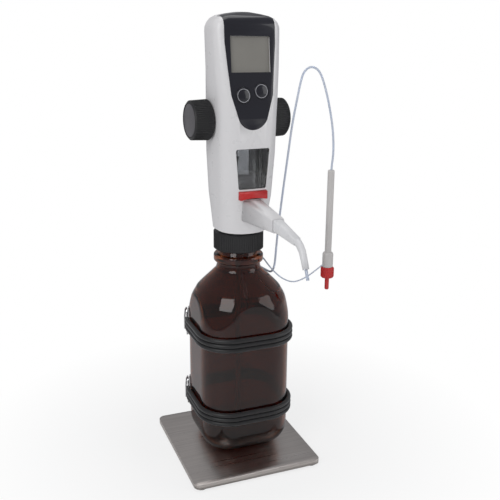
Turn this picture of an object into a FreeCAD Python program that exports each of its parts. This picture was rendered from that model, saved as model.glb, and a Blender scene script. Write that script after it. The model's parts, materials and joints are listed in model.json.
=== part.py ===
import FreeCAD, Part
import Sketcher
import math
import os

# Digital titration burette on a square bottle, strapped, standing on a steel plate.
# Millimetres and degrees. The origin is where the bottle's axis meets the bench.
# +Z is up, -Y is the front, and the burette head is turned a little about the bottle's axis.

V = FreeCAD.Vector
UP = V(0, 0, 1)
ALONG_X = V(0, 1, 0)
ALONG_Y = V(1, 0, 0)

DIMENSIONS = {
    # Stand
    "PlateWidth": 150,
    "PlateDepth": 160,
    "PlateThick": 6,
    "PlateCorner": 7,
    "PlateBevel": 0.8,
    "PlateLeft": 6,
    "PlateForward": 8,
    "FootRadius": 6.3,
    "FootHeight": 3,
    "FootInset": 9,
    "FootBevel": 0.8,
    # Bottle
    "BottleSide": 104,
    "BottleCorner": 33,
    "BottleHeel": 25,
    "BottleWall": 3.5,
    "BottleFloor": 5,
    "BodyHeight": 155,
    "ShoulderRise": 64,
    "NeckRadius": 24.5,
    "NeckHeight": 32,
    "BeadRadius": 28.1,
    "BeadHeight": 9,
    "FinishRadius": 22.4,
    "MouthRadius": 17,
    # Straps round the bottle
    "StrandRadius": 2.5,
    "StrandPitch": 5.4,
    "StrapGap": 0.3,
    "UpperStrapLevel": 140.5,
    "LowerStrapLevel": 51,
    "ClaspGap": 17,
    "ClaspTurn": 150,
    "WireRadius": 0.9,
    "ClaspRise": 7,
    # Threaded mounting ring
    "RingRadius": 28.1,
    "RingHeight": 21,
    "RingGrip": 15,
    "RingRibHeight": 0.55,
    "RingLip": 3.4,
    "RingBevel": 1.0,
    # Head: how far above the bottle's mouth each section lies, and its half width, front and back
    "HeadTurn": 3.5,
    "WallThick": 2.5,
    "PanelThick": 1.2,
    "BackRound": 24.5,
    "FrontRoundLow": 25,
    "FrontRoundHigh": 10,
    "BaseRise": 9,
    "BaseHalf": 27.2,
    "BaseFront": 33,
    "BaseBack": 28.6,
    "WaistRise": 49,
    "WaistHalf": 30,
    "WaistFront": 36.8,
    "WaistBack": 34,
    "MiddleRise": 94,
    "MiddleHalf": 32.4,
    "MiddleFront": 37,
    "MiddleBack": 34,
    "GripRise": 132,
    "GripHalf": 33,
    "GripFront": 36.6,
    "GripBack": 33,
    "DisplayRise": 182,
    "DisplayHalf": 36.2,
    "DisplayFront": 30.4,
    "DisplayBack": 24.5,
    "BrowRise": 219,
    "BrowHalf": 37.4,
    "BrowFront": 26.4,
    "BrowBack": 21,
    "CrownHeight": 19,
    "SeamRise": 47.3,
    # Display panel, screen and keys
    "PanelLowHalf": 16,
    "PanelLowRise": 131,
    "PanelMidHalf": 23.6,
    "PanelMidRise": 156,
    "PanelTopHalf": 28.3,
    "PanelTopRise": 208,
    "PanelTipBend": 17.6,
    "ScreenWidth": 44,
    "ScreenHeight": 35.6,
    "ScreenThick": 2.2,
    "ScreenLift": 14.2,
    "ScreenForward": 26.6,
    "ScreenLean": 5.9,
    "KeyRadius": 8.2,
    "KeySpread": 10.2,
    "LeftKeyDrop": 40.2,
    "RightKeyDrop": 36.2,
    "KeyLean": 7.3,
    "KeyGap": 0.3,
    "BoardWidth": 52,
    "BoardHeight": 78,
    "BoardThick": 1.6,
    # Inspection window and release bar
    "WindowLowHalf": 16,
    "WindowLowRise": 58.6,
    "WindowTopHalf": 19.6,
    "WindowTopRise": 101.4,
    "WindowCorner": 2.5,
    "BarHalf": 15.8,
    "BarLowRise": 47.9,
    "BarTopRise": 56.6,
    "BarProud": 3.4,
    "MoveGap": 0.3,
    # Dosing unit
    "BarrelForward": 8,
    "BoreRadius": 20,
    "GlassWall": 2.5,
    "BarrelRise": 49,
    "FloorRise": 51,
    "PistonHeight": 20,
    "PistonLift": 0.5,
    "PistonPlay": 0.6,
    "SealPlay": 0.05,
    "SealHeight": 5,
    "SealDepth": 2.6,
    "RackWidth": 12,
    "RackTop": 145,
    "ToothModule": 1,
    "PinionTeeth": 16,
    "PinionWidth": 12,
    "FitPlay": 0.05,
    "BlockRadius": 24.4,
    "NozzleRadius": 15.5,
    "BlockNeck": 17.5,
    "LipHoleGap": 0.4,
    "FlangeHeight": 2.2,
    "OutletRise": 32.8,
    "TieRadius": 2.5,
    "TieSpread": 14,
    "TieBack": 18,
    "SuctionRadius": 3,
    "SuctionWall": 0.8,
    "SuctionGap": 6,
    # Knobs and their shaft
    "KnobBack": 4.4,
    "KnobRise": 128.6,
    "KnobOuterRadius": 20.7,
    "KnobInnerRadius": 21.7,
    "KnobStart": 34,
    "KnobLength": 21.5,
    "KnobRibHeight": 0.5,
    "KnobBevel": 1.4,
    "ShaftRadius": 4,
    "BushRadius": 7,
    "BushLength": 8,
    "CheekThick": 3,
    "CheekGap": 1.6,
    # Spout
    "SleeveWide": 23,
    "SleeveTall": 23,
    "SleeveRise": 35.6,
    "SleeveStart": 28,
    "SleeveEnd": 96.5,
    "MouthWide": 13.6,
    "MouthTall": 15.2,
    "SlideWide": 10.9,
    "SlideTall": 12.4,
    "SlideRear": 81,
    "CavityStart": 41.5,
    "ArmThick": 7.8,
    "TipWidth": 6.4,
    "TubeRadius": 1.5,
    "TubeTipLength": 12.5,
    # Batteries
    "CellRadius": 5.25,
    "CellLength": 44.5,
    "CellSpread": 6.6,
    "CellBack": 12.4,
    "CellRise": 169,
    "CoverHalf": 15,
    "CoverLowRise": 168,
    "CoverTopRise": 212,
    # Flexible tubes with the remote handle
    "GlandHalf": 8.5,
    "GlandBack": 41,
    "GlandRise": 11,
    "GlandHeight": 12,
    "TubeExitBack": 37,
    "FlexExitSide": 12,
    "LineExitSide": 5,
    "FlexRadius": 1.2,
    "LineRadius": 0.8,
    "HandleRight": 100.2,
    "HandleForward": 26.7,
    "HandleLow": 227.6,
    "HandleTop": 323,
    "HandleRadius": 3.8,
    "CollarRadius": 6.2,
    "CollarLow": 209.9,
    "CapRadius": 7.7,
    "CapHeight": 12.6,
    "StemRadius": 2.5,
    "StemHeight": 14.7,
    # More
    "PanelReach": 8,
    "HeadDepth": 70,
    "KeyProud": 0.5,
    "KeyTravel": 0.6,
    "KeyRim": 0.9,
    "BoardDrop": 12,
    "PostInset": 4,
    "PostRadius": 2.2,
    "BarDepth": 4.2,
    "BarScoopBend": 60,
    "BarRound": 1.6,
    "BlockStep": 19.5,
    "BlockStepWide": 2.5,
    "SeatDepth": 6,
    "NozzleLength": 13,
    "EarThick": 7,
    "SealOffset": 3,
    "RackDepth": 9.15,
    "RackTeeth": 19,
    "ShaftGrip": 14,
    "FrameThick": 4,
    "CheekHalf": 8.5,
    "CapDisc": 17.5,
    "CapSink": 1.2,
    "CapThick": 1,
    "SpoutRise": 32.8,
    "SleeveRound": 2.4,
    "SpoutSlope": 5.7,
    "SlidePlay": 0.1,
    "SlideRound": 1.8,
    "ArmLength": 40,
    "TrayWall": 1.4,
    "GlandMiddle": 8.5,
    "SocketDepth": 6,
    "LineEntry": 6.2,
    "BeadRise": 2.5,
    "BeadRound": 2.4,
    "ShoulderWide": 35.4,
    "ShoulderDrop": 35.4,
    "FlankRise": 33,
    "FlankHalf": 28.5,
    "FlankFront": 35.6,
    "FlankBack": 32.6,
    "CheekRise": 155,
    "CheekHalfWide": 34.2,
    "CheekFront": 34.5,
    "CheekBack": 29.8,
    "TipInset": 2,
    "ShoulderLead": 4,
}

STAND_NODES = []
HEAD_NODES = []


class Size:
    """A length, angle or count together with the sheet formula that gives it."""

    def __init__(self, value, formula):
        self.value = float(value)
        self.formula = formula

    def __float__(self):
        return self.value

    def __add__(self, other):
        return Size(self.value + float(other), "(%s + %s)" % (self.formula, text(other)))

    def __radd__(self, other):
        return Size(float(other) + self.value, "(%s + %s)" % (text(other), self.formula))

    def __sub__(self, other):
        return Size(self.value - float(other), "(%s - %s)" % (self.formula, text(other)))

    def __rsub__(self, other):
        return Size(float(other) - self.value, "(%s - %s)" % (text(other), self.formula))

    def __mul__(self, other):
        return Size(self.value * float(other), "(%s * %s)" % (self.formula, text(other)))

    def __rmul__(self, other):
        return Size(float(other) * self.value, "(%s * %s)" % (text(other), self.formula))

    def __truediv__(self, other):
        return Size(self.value / float(other), "(%s / %s)" % (self.formula, text(other)))

    def __neg__(self):
        return Size(-self.value, "(0 - %s)" % self.formula)


def text(number):
    return number.formula if isinstance(number, Size) else repr(float(number))


class Cells:
    """The sheet's named cells, each read as a Size."""


doc = FreeCAD.newDocument("Burette")
sheet = doc.addObject("Spreadsheet::Sheet", "Sizes")
size = Cells()
for row, (name, number) in enumerate(DIMENSIONS.items(), start=1):
    sheet.set("A%d" % row, name)
    sheet.set("B%d" % row, str(number))
    sheet.setAlias("B%d" % row, name)
    setattr(size, name, Size(number, "Sizes." + name))
doc.recompute()

# Levels that the rest is placed from
plate_top = size.FootHeight + size.PlateThick
shoulder = plate_top + size.BodyHeight
neck_start = shoulder + size.ShoulderRise
mouth = neck_start + size.NeckHeight


def above_mouth(rise):
    return mouth + rise


def bind(target, **fields):
    """Gives an object's fields their values and the sheet formulas behind them."""
    for field, length in fields.items():
        kept = getattr(target, field)
        setattr(target, field, int(float(length)) if isinstance(kept, int) else float(length))
        if isinstance(length, Size):
            target.setExpression(field, length.formula)


def place(target, x=0, y=0, z=0, axis=UP, angle=0):
    target.Placement = FreeCAD.Placement(V(float(x), float(y), float(z)), FreeCAD.Rotation(axis, float(angle)))
    for letter, length in zip("xyz", (x, y, z)):
        if isinstance(length, Size):
            target.setExpression("Placement.Base." + letter, length.formula)
    return target


def body(name):
    return doc.addObject("PartDesign::Body", name)


def origin_plane(owner, role):
    for datum in owner.Origin.OriginFeatures:
        if datum.Role == role:
            return datum


def arc_middle(start, end, radius, side):
    """The point halfway along the smaller arc from start to end that bulges to the given side."""
    chord = end - start
    half = chord.Length / 2
    rise = radius - math.sqrt(max(radius * radius - half * half, 0))
    across = V(chord.y, -chord.x, 0)
    across.normalize()
    return (start + end) * 0.5 + across * (rise * side)


def outline(owner, name, role, points, offset=0):
    """A closed sketch, fully tied to the sheet. A point is (x, y), or (x, y, radius, side) where the
    stretch that leaves it is an arc, bulging to the right of its way (1) or to the left (-1)."""
    sketch = owner.newObject("Sketcher::SketchObject", name)
    sketch.AttachmentSupport = [(origin_plane(owner, role), "")]
    sketch.MapMode = "FlatFace"
    sketch.AttachmentOffset = FreeCAD.Placement(V(0, 0, float(offset)), FreeCAD.Rotation())
    if isinstance(offset, Size):
        sketch.setExpression("AttachmentOffset.Base.z", offset.formula)
    spots = [V(float(point[0]), float(point[1]), 0) for point in points]
    count = len(points)
    for i, point in enumerate(points):
        start, end = spots[i], spots[(i + 1) % count]
        if len(point) == 2:
            sketch.addGeometry(Part.LineSegment(start, end))
        else:
            sketch.addGeometry(Part.Arc(start, arc_middle(start, end, float(point[2]), point[3]), end))
    # An arc is stored counter-clockwise, so its start and end may be swapped
    heads, tails = [], []
    for i in range(count):
        first_is_start = sketch.getPoint(i, 1).distanceToPoint(spots[i]) < 1e-6
        heads.append(1 if first_is_start else 2)
        tails.append(2 if first_is_start else 1)
    for i in range(count):
        following = (i + 1) % count
        sketch.addConstraint(Sketcher.Constraint("Coincident", i, tails[i], following, heads[following]))
    for i, point in enumerate(points):
        for kind, length in (("DistanceX", point[0]), ("DistanceY", point[1])):
            tie(sketch, Sketcher.Constraint(kind, -1, 1, i, heads[i], float(length)), length)
        if len(point) > 2:
            tie(sketch, Sketcher.Constraint("Radius", i, float(point[2])), point[2])
    return sketch


def tie(sketch, constraint, length):
    index = sketch.addConstraint(constraint)
    if isinstance(length, Size):
        sketch.setExpression("Constraints[%d]" % index, length.formula)


def ring_sketch(owner, name, role, radius, x=0, y=0, offset=0):
    """A sketch of one circle."""
    sketch = owner.newObject("Sketcher::SketchObject", name)
    sketch.AttachmentSupport = [(origin_plane(owner, role), "")]
    sketch.MapMode = "FlatFace"
    sketch.AttachmentOffset = FreeCAD.Placement(V(0, 0, float(offset)), FreeCAD.Rotation())
    if isinstance(offset, Size):
        sketch.setExpression("AttachmentOffset.Base.z", offset.formula)
    sketch.addGeometry(Part.Circle(V(float(x), float(y), 0), V(0, 0, 1), float(radius)))
    tie(sketch, Sketcher.Constraint("DistanceX", -1, 1, 0, 3, float(x)), x)
    tie(sketch, Sketcher.Constraint("DistanceY", -1, 1, 0, 3, float(y)), y)
    tie(sketch, Sketcher.Constraint("Radius", 0, float(radius)), radius)
    return sketch


def pad(owner, sketch, length, reverse=False):
    feature = owner.newObject("PartDesign::Pad", sketch.Name + "Pad")
    feature.Profile = sketch
    feature.Reversed = reverse
    bind(feature, Length=length)
    return feature


def pocket(owner, sketch, length, reverse=False):
    feature = owner.newObject("PartDesign::Pocket", sketch.Name + "Pocket")
    feature.Profile = sketch
    feature.Reversed = reverse
    bind(feature, Length=length)
    return feature


def edge_names(feature, wanted):
    doc.recompute()
    return ["Edge%d" % i for i, edge in enumerate(feature.Shape.Edges, start=1) if wanted(edge)]


def soften(owner, base, kind, length, wanted):
    """A fillet or chamfer on the edges of the body's last feature that a test picks."""
    feature = owner.newObject("PartDesign::" + kind, base.Name + kind)
    feature.Base = (base, edge_names(base, wanted))
    bind(feature, **{"Radius" if kind == "Fillet" else "Size": length})
    return feature


def level_edge(level):
    """A test for edges that lie flat at one height."""
    def wanted(edge):
        return edge.BoundBox.ZLength < 1e-3 and abs(edge.BoundBox.ZMin - float(level)) < 1e-3
    return wanted


def cylinder(name, radius, height, x=0, y=0, z=0, axis=UP, angle=0, sides=24):
    """A round rod with flat sides, or truly round where the sides are none."""
    if sides:
        rod = doc.addObject("Part::Prism", name)
        rod.Polygon = sides
        bind(rod, Circumradius=radius, Height=height)
    else:
        rod = doc.addObject("Part::Cylinder", name)
        bind(rod, Radius=radius, Height=height)
    return place(rod, x, y, z, axis, angle)


def box(name, x_from, x_to, y_from, y_to, z_from, z_to):
    block = doc.addObject("Part::Box", name)
    bind(block, Length=x_to - x_from, Width=y_to - y_from, Height=z_to - z_from)
    return place(block, x_from, y_from, z_from)


def cut(name, base, *tools):
    result = doc.addObject("Part::Cut", name)
    result.Base = base
    result.Tool = tools[0] if len(tools) == 1 else fuse(name + "Tools", *tools)
    return result


def fuse(name, *parts):
    result = doc.addObject("Part::MultiFuse", name)
    result.Shapes = list(parts)
    return result


def common(name, *parts):
    result = doc.addObject("Part::MultiCommon", name)
    result.Shapes = list(parts)
    return result


def together(name, *parts):
    result = doc.addObject("Part::Compound", name)
    result.Links = list(parts)
    return result


def made(name, shape):
    """A feature whose shape comes from the geometry functions."""
    feature = doc.addObject("Part::Feature", name)
    feature.Shape = shape
    return feature


def stand_node(target, label):
    target.Label = label
    STAND_NODES.append(target)
    return target


def head_node(target, label):
    """A piece of the head, which is turned about the bottle's axis as a whole."""
    target.Label = label
    target.Placement = FreeCAD.Placement(V(), FreeCAD.Rotation(UP, float(size.HeadTurn)))
    target.setExpression("Placement.Rotation.Angle", "Sizes.HeadTurn")
    HEAD_NODES.append(target)
    return target


def rounded_box_points(half_x, half_y, corner, centre_x=0, centre_y=0):
    """The eight points of a rectangle with round corners, counter-clockwise."""
    left, right = centre_x - half_x, centre_x + half_x
    low, high = centre_y - half_y, centre_y + half_y
    return [
        (left + corner, low),
        (right - corner, low, corner, 1),
        (right, low + corner),
        (right, high - corner, corner, 1),
        (right - corner, high),
        (left + corner, high, corner, 1),
        (left, high - corner),
        (left, low + corner, corner, 1),
    ]


def quarter(centre_x, centre_y, radius, begin, steps):
    """Points round a corner, a quarter turn from the start angle in degrees, in equal steps."""
    points = []
    for step in range(steps + 1):
        angle = math.radians(begin + 90 * step / steps)
        points.append((centre_x + radius * math.cos(angle), centre_y + radius * math.sin(angle)))
    return points


def soft_square(half_x, front, back, front_round, back_round, steps):
    """A section with corners in equal steps, so that sections of other sizes join it by flat faces."""
    return (
        quarter(half_x - front_round, -front + front_round, front_round, -90, steps)
        + quarter(half_x - back_round, back - back_round, back_round, 0, steps)
        + quarter(-half_x + back_round, back - back_round, back_round, 90, steps)
        + quarter(-half_x + front_round, -front + front_round, front_round, 180, steps)
    )


def panel(corners):
    """A flat panel through four corners, or two where the four don't lie in one plane."""
    first, second, third, fourth = corners
    normal = (second - first).cross(third - first)
    if normal.Length < 1e-9:
        return [Part.Face(Part.makePolygon([first, third, fourth, first]))]
    away = abs(normal.normalize().dot(fourth - first))
    if (fourth - first).Length < 1e-6 or (fourth - third).Length < 1e-6:
        return [Part.Face(Part.makePolygon([first, second, third, first]))]
    if (second - first).Length < 1e-6:
        return [Part.Face(Part.makePolygon([first, third, fourth, first]))]
    if away < 1e-7:
        return [Part.Face(Part.makePolygon([first, second, third, fourth, first]))]
    return [
        Part.Face(Part.makePolygon([first, second, third, first])),
        Part.Face(Part.makePolygon([first, third, fourth, first])),
    ]


def panelled(name, rings):
    """A solid with flat panels from each ring of points to the next, and flat ends."""
    rings = [[V(*[float(c) for c in spot]) for spot in ring] for ring in rings]
    faces = [Part.Face(Part.makePolygon(ring + ring[:1])) for ring in (rings[0], rings[-1])]
    for low, high in zip(rings, rings[1:]):
        for here in range(len(low)):
            there = (here + 1) % len(low)
            faces += panel([low[here], low[there], high[there], high[here]])
    shell = Part.Shell(faces)
    shell.sewShape()
    solid = Part.Solid(shell)
    if solid.Volume < 0:
        solid.reverse()
    return made(name, solid)


def circle(radius, level, sides):
    """A level ring of points round the upright axis."""
    return [
        (float(radius) * math.cos(2 * math.pi * side / sides), float(radius) * math.sin(2 * math.pi * side / sides), level)
        for side in range(sides)
    ]


def turned(name, profile, sides):
    """A round form with flat sides about the upright axis, from (radius, level) pairs."""
    return panelled(name, [circle(radius, level, sides) for radius, level in profile])


def fluted(level, crest, groove, count):
    """A level ring that goes in and out between two radii, for a grip."""
    ring = []
    for number in range(2 * count):
        angle = math.pi * number / count
        radius = float(crest if number % 2 == 0 else groove)
        ring.append((radius * math.cos(angle), radius * math.sin(angle), level))
    return ring


# Base plate: brushed steel with round corners and a light bevel on its top edge
plate_x = -size.PlateLeft
plate_y = -size.PlateForward
base_plate = body("BasePlate")
plate_sketch = outline(
    base_plate, "PlateOutline", "XY_Plane",
    rounded_box_points(size.PlateWidth / 2, size.PlateDepth / 2, size.PlateCorner, plate_x, plate_y),
    size.FootHeight,
)
plate_pad = pad(base_plate, plate_sketch, size.PlateThick)
soften(base_plate, plate_pad, "Chamfer", size.PlateBevel, level_edge(plate_top))
stand_node(base_plate, "base_plate")

# Feet: four rubber discs with a bevelled tread under the plate's corners
for side_name, side in (("left", -1), ("right", 1)):
    for end_name, end in (("front", -1), ("back", 1)):
        foot = turned("Foot" + end_name + side_name, [
            (size.FootRadius - size.FootBevel, 0 * size.FootBevel),
            (size.FootRadius, size.FootBevel),
            (size.FootRadius, size.FootHeight),
        ], 20)
        place(
            foot, plate_x + side * (size.PlateWidth / 2 - size.FootInset),
            plate_y + end * (size.PlateDepth / 2 - size.FootInset), 0 * size.FootHeight,
        )
        stand_node(foot, "foot_%s_%s" % (end_name, side_name))


# Bottle: a square body with a large heel, a round shoulder and a beaded neck
def bottle_ring(shrink, level, limit=1000):
    """A level ring of the square body with its round corners, held within a radius."""
    half = float(size.BottleSide / 2 - shrink)
    corner = float(size.BottleCorner - shrink)
    flat = half - corner
    ring = []
    for quarter_turn in range(4):
        spots = [(half, 0), (half, flat * 0.36), (half, flat * 0.7)] + quarter(flat, flat, corner, 0, CORNER_STEPS)
        spots += [(flat * 0.7, half), (flat * 0.36, half)]
        turn = math.pi / 2 * quarter_turn
        for x, y in spots:
            share = min(1, float(limit) / math.hypot(x, y))
            ring.append((
                share * (x * math.cos(turn) - y * math.sin(turn)), share * (x * math.sin(turn) + y * math.cos(turn)), level,
            ))
    return ring


def bottle_form(name, inset, floor, heel_steps, shoulder_steps, neck_profile):
    """The bottle's outside, or its inside when inset by the wall."""
    rings = []
    heel = size.BottleHeel - inset
    for step in range(heel_steps + 1):
        angle = math.radians(90 * step / heel_steps)
        rings.append(bottle_ring(inset + heel * (1 - math.sin(angle)), plate_top + floor + heel * (1 - math.cos(angle))))
    rings.append(bottle_ring(inset, shoulder - size.ShoulderLead))
    neck = size.NeckRadius - inset
    for drop, rise in shoulder_steps:
        limit = neck + size.ShoulderWide - size.ShoulderDrop * drop
        rings.append(bottle_ring(inset, shoulder + size.ShoulderRise * rise, limit))
    for radius, level in neck_profile:
        rings.append(bottle_ring(inset, level, radius))
    return panelled(name, rings)


# The shoulder's profile, as shares of its drop in radius and of its rise, from the wall to the neck
SHOULDER = [(0, 0), (0.11, 0.25), (0.18, 0.39), (0.30, 0.51), (0.397, 0.588), (0.893, 0.862), (0.975, 0.925)]
CORNER_STEPS = 4
bead_low = neck_start + size.BeadRise
bead_middle = bead_low + size.BeadHeight / 2
bead_rim = size.BeadRadius - size.BeadRound
bottle_outside = bottle_form("BottleOutside", 0 * size.BottleWall, 0 * size.BottleFloor, 3, SHOULDER, [
    (size.NeckRadius, neck_start),
    (size.NeckRadius, bead_low),
    (bead_rim, bead_low),
    (size.BeadRadius, bead_middle - size.BeadRound / 1.4),
    (size.BeadRadius, bead_middle + size.BeadRound / 1.4),
    (bead_rim, bead_low + size.BeadHeight),
    (size.FinishRadius, bead_low + size.BeadHeight),
    (size.FinishRadius, mouth),
])
bottle_inside = bottle_form("BottleInside", size.BottleWall, size.BottleFloor, 2, SHOULDER[1::2], [
    (size.NeckRadius - size.BottleWall, neck_start),
    (size.NeckRadius - size.BottleWall, neck_start + 2),
    (size.MouthRadius, neck_start + 6),
    (size.MouthRadius, mouth + 1),
])
bottle = cut("Bottle", bottle_outside, bottle_inside)
stand_node(bottle, "bottle")


# Straps: three round rubber strands that end in wire rings, joined by a hook at the back left corner
def bar_along(edges, radius, sides, corner=0):
    """A bar with flat sides along a run of lines and arcs. Its area is a round bar's."""
    path = Part.Wire(edges)
    first = path.Edges[0]
    start = first.valueAt(first.FirstParameter)
    ahead = first.tangentAt(first.FirstParameter)
    across = ahead.cross(UP if abs(ahead.z) < 0.9 else ALONG_Y).normalize()
    above = across.cross(ahead).normalize()
    reach = radius * math.sqrt(2 * math.pi / sides / math.sin(2 * math.pi / sides))
    ring = []
    for side in range(sides + 1):
        angle = 2 * math.pi * (side % sides + 0.5) / sides
        ring.append(start + across * (reach * math.cos(angle)) + above * (reach * math.sin(angle)))
    section = Part.makePolygon(ring)
    return path.makePipeShell([section], True, False, corner)


def strap_path(level, reach, corner, gap):
    """Once round the bottle, open by the gap on the back left corner."""
    straight = reach - corner
    centre = V(-straight, straight, level)
    spread = gap / 2 / corner

    def on_corner(middle, angle):
        return middle + V(corner * math.cos(angle), corner * math.sin(angle), 0)

    def bend(x, y, begin, finish):
        middle = V(x, y, level)
        turn = math.pi / 2 / CORNER_STEPS
        turns = [turn * step for step in range(-CORNER_STEPS, 4 * CORNER_STEPS)]
        between = [angle for angle in turns if begin + 1e-6 < angle < finish - 1e-6]
        spots = [on_corner(middle, angle) for angle in [begin] + between + [finish]]
        return [Part.makeLine(first, second) for first, second in zip(spots, spots[1:])]

    quarter = math.pi / 2
    open_angle = math.radians(float(size.ClaspTurn))
    return (
        bend(centre.x, centre.y, open_angle + spread, 2 * quarter)
        + [Part.makeLine(V(-reach, straight, level), V(-reach, -straight, level))]
        + bend(-straight, -straight, 2 * quarter, 3 * quarter)
        + [Part.makeLine(V(-straight, -reach, level), V(straight, -reach, level))]
        + bend(straight, -straight, -quarter, 0)
        + [Part.makeLine(V(reach, -straight, level), V(reach, straight, level))]
        + bend(straight, straight, 0, quarter)
        + [Part.makeLine(V(straight, reach, level), V(-straight, reach, level))]
        + bend(centre.x, centre.y, quarter, open_angle - spread)
    )


def link_ring(middle, along, half_width, half_height, wire):
    """An upright oblong wire ring with bevelled ends."""
    across = along.normalize() * half_width
    rise = UP * half_height
    ease = UP * half_width * 0.8
    spots = [
        middle + across, middle + across + rise - ease, middle + across * 0.4 + rise, middle - across * 0.4 + rise,
        middle - across + rise - ease, middle - across - rise + ease, middle - across * 0.4 - rise,
        middle + across * 0.4 - rise, middle + across - rise + ease, middle + across,
    ]
    edges = [Part.makeLine(first, second) for first, second in zip(spots, spots[1:])]
    return bar_along(edges, wire, WIRE_SIDES, 1)


WIRE_SIDES = 6
STRAND_SIDES = 6
TUBE_SIDES = 6


def strap_run(strap_level):
    """The sizes that a strap and its clasp share: reach from the axis, corner radius and level."""
    reach = float(size.BottleSide / 2 + size.StrandRadius + size.StrapGap)
    corner = float(size.BottleCorner + size.StrandRadius + size.StrapGap)
    return reach, corner, float(plate_top + strap_level)


def strap(name, strap_level):
    """Three strands, one above the other, with their ends open at the clasp."""
    reach, corner, level = strap_run(strap_level)
    strands = []
    for step in (-1, 0, 1):
        edges = strap_path(level + step * float(size.StrandPitch), reach, corner, float(size.ClaspGap))
        strands.append(bar_along(edges, float(size.StrandRadius), STRAND_SIDES, 1))
    return stand_node(made(name + "Strap", Part.makeCompound(strands)), name.lower() + "_strap")


def clasp(name, strap_level):
    """Two upright wire rings at the strand ends and the bent wire hook that draws them together."""
    strand = float(size.StrandRadius)
    wire = float(size.WireRadius)
    reach, corner, level = strap_run(strap_level)
    gap = float(size.ClaspGap)
    half_height = float(size.StrandPitch) + strand + float(size.ClaspRise)
    spread = gap / 2 / corner
    straight = reach - corner
    open_angle = math.radians(float(size.ClaspTurn))
    centre = V(-straight, straight, level)
    facing = V(math.cos(open_angle), math.sin(open_angle), 0)
    sideways = V(facing.y, -facing.x, 0)
    rings = []
    for side in (-1, 1):
        angle = open_angle - side * spread
        outward = V(math.cos(angle), math.sin(angle), 0)
        # the ring's inner bar touches the strand ends
        end = centre + outward * corner
        along = V(outward.y, -outward.x, 0) * -side
        middle = end + along * (2.6 * wire)
        rings.append(link_ring(middle, along, 1.6 * wire, half_height, wire))
    bridge = centre + facing * (corner + 2.4 * wire)
    hook_half = gap / 2 - 2.2 * wire
    hook_rise = half_height * 0.55
    left = bridge - sideways * hook_half
    right = bridge + sideways * hook_half
    spots = [
        left - UP * hook_rise, left + UP * hook_rise, left + sideways * hook_half * 0.6 + UP * (hook_rise + hook_half),
        right - sideways * hook_half * 0.6 + UP * (hook_rise + hook_half), right + UP * hook_rise, right - UP * hook_rise,
    ]
    hook = bar_along([Part.makeLine(first, second) for first, second in zip(spots, spots[1:])], wire, WIRE_SIDES, 1)
    return stand_node(made(name + "Clasp", Part.makeCompound(rings + [hook])), name.lower() + "_clasp")


strap("Upper", size.UpperStrapLevel)
strap("Lower", size.LowerStrapLevel)
clasp("Upper", size.UpperStrapLevel)
clasp("Lower", size.LowerStrapLevel)

RING_FLUTES = 32
KNOB_FLUTES = 26
CAP_FLUTES = 12

# Mounting ring: a knurled ring that draws the head down on the bottle's threaded finish
ring_low = mouth - size.RingGrip
ring_top = ring_low + size.RingHeight
ring_core = size.RingRadius - size.RingRibHeight
ring_hole = size.FinishRadius + size.MoveGap
ring_solid = panelled("RingSolid", [
    fluted(ring_low, ring_core, ring_core, RING_FLUTES),
    fluted(ring_low + size.RingBevel, size.RingRadius, ring_core, RING_FLUTES),
    fluted(ring_top - size.RingBevel, size.RingRadius, ring_core, RING_FLUTES),
    fluted(ring_top, ring_core, ring_core, RING_FLUTES),
])
stand_node(cut(
    "MountingRing", ring_solid,
    cylinder("RingBore", ring_hole, size.RingHeight - size.RingLip + 1, 0, 0, ring_low - 1, sides=0),
    cylinder("RingLipHole", size.BlockNeck + size.LipHoleGap, size.RingHeight, 0, 0, ring_low + 1, sides=24),
), "mounting_ring")


def around(owner, feature, axis_sketch, axis_name, count):
    """Repeats a feature all round an axis."""
    pattern = owner.newObject("PartDesign::PolarPattern", feature.Name + "Round")
    pattern.Originals = [feature]
    pattern.Axis = (axis_sketch, [axis_name])
    pattern.Angle = 360
    bind(pattern, Occurrences=count)
    owner.Tip = pattern
    return pattern


# Head shell: one lofted form, hollowed by the wall, with a domed crown
HEAD_STEPS = 5


def head_form(name, inset):
    """The head's outside, or the same form inset by a wall."""
    low, high = size.FrontRoundLow, size.FrontRoundHigh
    # Each level: rise, half width, front, back, front and back corner
    levels = [
        (size.BaseRise + inset, size.BaseHalf, size.BaseFront, size.BaseBack, low, size.BackRound),
        (size.FlankRise, size.FlankHalf, size.FlankFront, size.FlankBack, low - 2, size.BackRound),
        (size.WaistRise, size.WaistHalf, size.WaistFront, size.WaistBack, low - 4, size.BackRound),
        (size.MiddleRise, size.MiddleHalf, size.MiddleFront, size.MiddleBack, low - 7, size.BackRound),
        (size.GripRise, size.GripHalf, size.GripFront, size.GripBack, high + 6, size.BackRound),
        (size.CheekRise, size.CheekHalfWide, size.CheekFront, size.CheekBack, high + 4, size.BackRound),
        (size.DisplayRise, size.DisplayHalf, size.DisplayFront, size.DisplayBack, high + 2, size.BackRound),
        (size.BrowRise, size.BrowHalf, size.BrowFront, size.BrowBack, high, size.BackRound - 4),
    ]
    # The crown rounds over: each level lies so far under the top and so far in from the brow's sides and faces
    for under, in_x, in_y in CROWN:
        half, front, back = size.BrowHalf - in_x, size.BrowFront - in_y, size.BrowBack - in_y
        tight = min(float(high), float(half) - 0.5, float(front + back) / 2 - 0.5)
        levels.append((size.BrowRise + size.CrownHeight - under - inset, half, front, back, tight, tight))
    rings = []
    for rise, half, front, back, tight, large in levels:
        points = soft_square(half - inset, front - inset, back - inset, tight - inset, large - inset, HEAD_STEPS)
        rings.append([(x, y, above_mouth(rise)) for x, y in points])
    return panelled(name, rings)


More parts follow.
